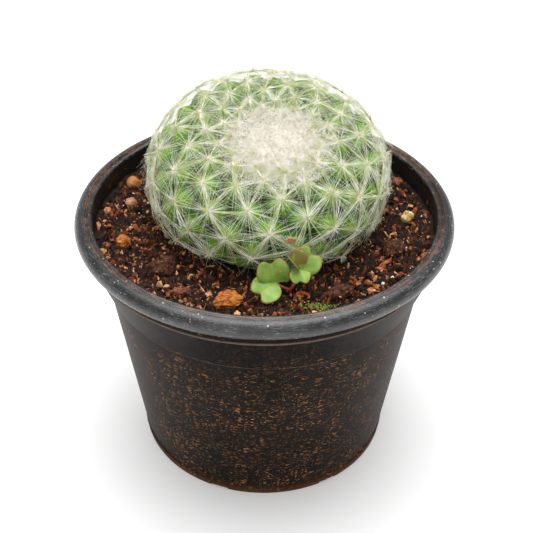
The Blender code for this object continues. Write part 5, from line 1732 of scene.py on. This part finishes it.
class CACTUS_PG_soil(bpy.types.PropertyGroup):
    bed_sides: IntProperty(name="Bed Sides", description="Steps round the soil", default=360, min=48)
    bed_rings: IntProperty(
        name="Bed Rings", description="Steps from the middle to the wall", default=84, min=8
    )
    fine_crumbs: FloatProperty(
        name="Fine Crumbs", description="Fine crumbs on each square millimetre", default=1.0
    )
    coarse_crumbs: FloatProperty(
        name="Coarse Crumbs", description="Coarse crumbs on each square millimetre", default=0.62
    )
    fibres: FloatProperty(name="Fibres", description="Fibres on each square millimetre", default=0.22)
    soil_colour: colour_setting("Soil", "#4a2a18", "Lightest tone of the peat")
    clod_grit: FloatProperty(
        name="Clod Grit", description="Grains on each square millimetre of a clod", default=1.6
    )
    perlite_specks: IntProperty(
        name="Perlite Specks", description="Small white grains strewn about", default=16, min=0
    )
    moss_grains: IntProperty(
        name="Moss Grains", description="Green grains in the patch of moss", default=110, min=0
    )
    trimming_seed: IntProperty(name="Seed", description="Picks where the small grains lie", default=9)
    crumb_colour: colour_setting("Crumbs", "#ad6233", "Tone of the drier crumbs")


class CACTUS_PG_plant(bpy.types.PropertyGroup):
    body_rows: IntProperty(name="Body Rows", description="Rings of the green body", default=124, min=20)
    body_columns: IntProperty(
        name="Body Columns", description="Faces round the green body", default=300, min=24
    )
    # painted light: the lime of the tubercle tips in full light
    lit_skin_colour: colour_setting("Skin", "#7aa60c", "Green of the tubercles in full light")
    # painted shade: the dark green of the creases between the tubercles
    shaded_crease_colour: colour_setting("Creases", "#0f2a03", "Green between the tubercles")
    spine_colour: colour_setting("Spines", "#f8f6ea", "Brightest tone of the spines")
    crown_colour: colour_setting("Crown", "#fdfaf0", "Brightest tone of the crown wool")
    areole_colour: colour_setting("Areoles", "#dfba92", "Lighter tone of the felt")
    areole_radius: length_setting("Areole Radius", "Radius of the felt cushion", 0.44 * MM)
    hairs_per_areole: IntProperty(
        name="Hairs", description="Radial spines on a full-grown areole", default=96, min=1
    )
    bundle_hairs: IntProperty(
        name="Bundle Hairs", description="Spines in a bundle between areoles", default=8, min=1
    )
    spine_share: FloatProperty(
        name="Spine Share", description="Spine length as a share of the areole spacing", default=0.92
    )
    spine_radius: length_setting("Spine Radius", "Radius of a spine at its root", 0.035 * MM)
    crown_reach: length_setting("Crown Reach", "Radius of the woolly crown", 14.5 * MM)
    seed: IntProperty(name="Seed", description="Picks the arrangement of the spines", default=4)


class CACTUS_PG_seedling(bpy.types.PropertyGroup):
    leaf_colour: colour_setting("Leaves", "#9dba58", "Lighter green of the leaflets")
    leaf_thickness: length_setting("Leaf Thickness", "Thickness of a leaflet", 0.4 * MM)


class CACTUS_PG_stage(bpy.types.PropertyGroup):
    camera_lens: FloatProperty(
        name="Lens", description="Focal length for a 36 mm sensor", default=81.05,
        subtype="DISTANCE_CAMERA", unit="CAMERA",
    )
    camera_rise: FloatProperty(
        name="Camera Rise", description="Angle of the view below level", default=math.radians(36.94),
        subtype="ANGLE", unit="ROTATION",
    )
    room_light: FloatProperty(
        name="Room Light", description="Strength of the white surroundings", default=0.5
    )
    lamp_power: FloatProperty(
        name="Lamp Power", description="Power of the overhead light", default=8.2, subtype="POWER",
        unit="POWER",
    )
    floor_size: length_setting("Floor Size", "Width of the floor", 6.0)
    floor_colour: colour_setting("Floor", "#fbfbfb", "Lighter tone of the paper")


# Operators

class CACTUS_OT_stage(bpy.types.Operator):
    """Make the camera, lights and floor"""
    bl_idname = "cactus.stage"
    bl_label = "Stage"

    def execute(self, context):
        build_stage(context.scene.cactus_stage)
        return {"FINISHED"}


class CACTUS_OT_pot(bpy.types.Operator):
    """Turn the pot and cut its drain holes and foot notches"""
    bl_idname = "cactus.pot"
    bl_label = "Pot"

    def execute(self, context):
        build_pot(context.scene.cactus_pot)
        return {"FINISHED"}


class CACTUS_OT_body(bpy.types.Operator):
    """Raise the green body with its tubercles"""
    bl_idname = "cactus.body"
    bl_label = "Cactus Body"

    def execute(self, context):
        build_cactus_body(context.scene.cactus_plant)
        return {"FINISHED"}


class CACTUS_OT_spines(bpy.types.Operator):
    """Grow the radial spines and the bundles between areoles"""
    bl_idname = "cactus.spines"
    bl_label = "Spines"

    def execute(self, context):
        build_spines(context.scene.cactus_plant)
        return {"FINISHED"}


class CACTUS_OT_crown(bpy.types.Operator):
    """Grow the woolly crown"""
    bl_idname = "cactus.crown"
    bl_label = "Crown"

    def execute(self, context):
        build_crown(context.scene.cactus_plant)
        return {"FINISHED"}


class CACTUS_OT_areoles(bpy.types.Operator):
    """Put the felt and its tuft on every areole"""
    bl_idname = "cactus.areoles"
    bl_label = "Areoles"

    def execute(self, context):
        build_areoles(context.scene.cactus_plant)
        return {"FINISHED"}


class CACTUS_OT_soil(bpy.types.Operator):
    """Fill the pot and strew the crumbs"""
    bl_idname = "cactus.soil"
    bl_label = "Soil"

    def execute(self, context):
        build_soil(context.scene.cactus_soil)
        return {"FINISHED"}


class CACTUS_OT_loose_pieces(bpy.types.Operator):
    """Lay the bark, clods and stones"""
    bl_idname = "cactus.loose_pieces"
    bl_label = "Loose Pieces"

    def execute(self, context):
        build_loose_pieces()
        strew_clods(context.scene.cactus_soil)
        build_trimmings(context.scene.cactus_soil)
        return {"FINISHED"}


class CACTUS_OT_seedling(bpy.types.Operator):
    """Grow the wood-sorrel seedling and the dried bud"""
    bl_idname = "cactus.seedling"
    bl_label = "Seedling"

    def execute(self, context):
        build_seedling(context.scene.cactus_seedling)
        return {"FINISHED"}


STEPS = (
    CACTUS_OT_stage, CACTUS_OT_pot, CACTUS_OT_body, CACTUS_OT_spines, CACTUS_OT_crown, CACTUS_OT_areoles,
    CACTUS_OT_soil, CACTUS_OT_loose_pieces, CACTUS_OT_seedling,
)
GROUPS = {
    "cactus_pot": CACTUS_PG_pot, "cactus_soil": CACTUS_PG_soil, "cactus_plant": CACTUS_PG_plant,
    "cactus_seedling": CACTUS_PG_seedling, "cactus_stage": CACTUS_PG_stage,
}


class CACTUS_PT_panel(bpy.types.Panel):
    """Lists the steps and their settings"""
    bl_idname = "CACTUS_PT_panel"
    bl_label = "Potted Feather Cactus"
    bl_space_type = "VIEW_3D"
    bl_region_type = "UI"
    bl_category = "Cactus"

    def draw(self, context):
        for step in STEPS:
            self.layout.operator(step.bl_idname)
        for attribute, group in GROUPS.items():
            box = self.layout.box()
            for label in group.__annotations__:
                box.prop(getattr(context.scene, attribute), label)


def register():
    for group in GROUPS.values():
        bpy.utils.register_class(group)
    for step in STEPS:
        bpy.utils.register_class(step)
    bpy.utils.register_class(CACTUS_PT_panel)
    for attribute, group in GROUPS.items():
        setattr(bpy.types.Scene, attribute, PointerProperty(type=group))


def unregister():
    for attribute in GROUPS:
        delattr(bpy.types.Scene, attribute)
    bpy.utils.unregister_class(CACTUS_PT_panel)
    for step in reversed(STEPS):
        bpy.utils.unregister_class(step)
    for group in GROUPS.values():
        bpy.utils.unregister_class(group)


def main():
    register()
    for step in STEPS:
        group, name = step.bl_idname.split(".")
        getattr(getattr(bpy.ops, group), name)()


if __name__ == "__main__":
    main()
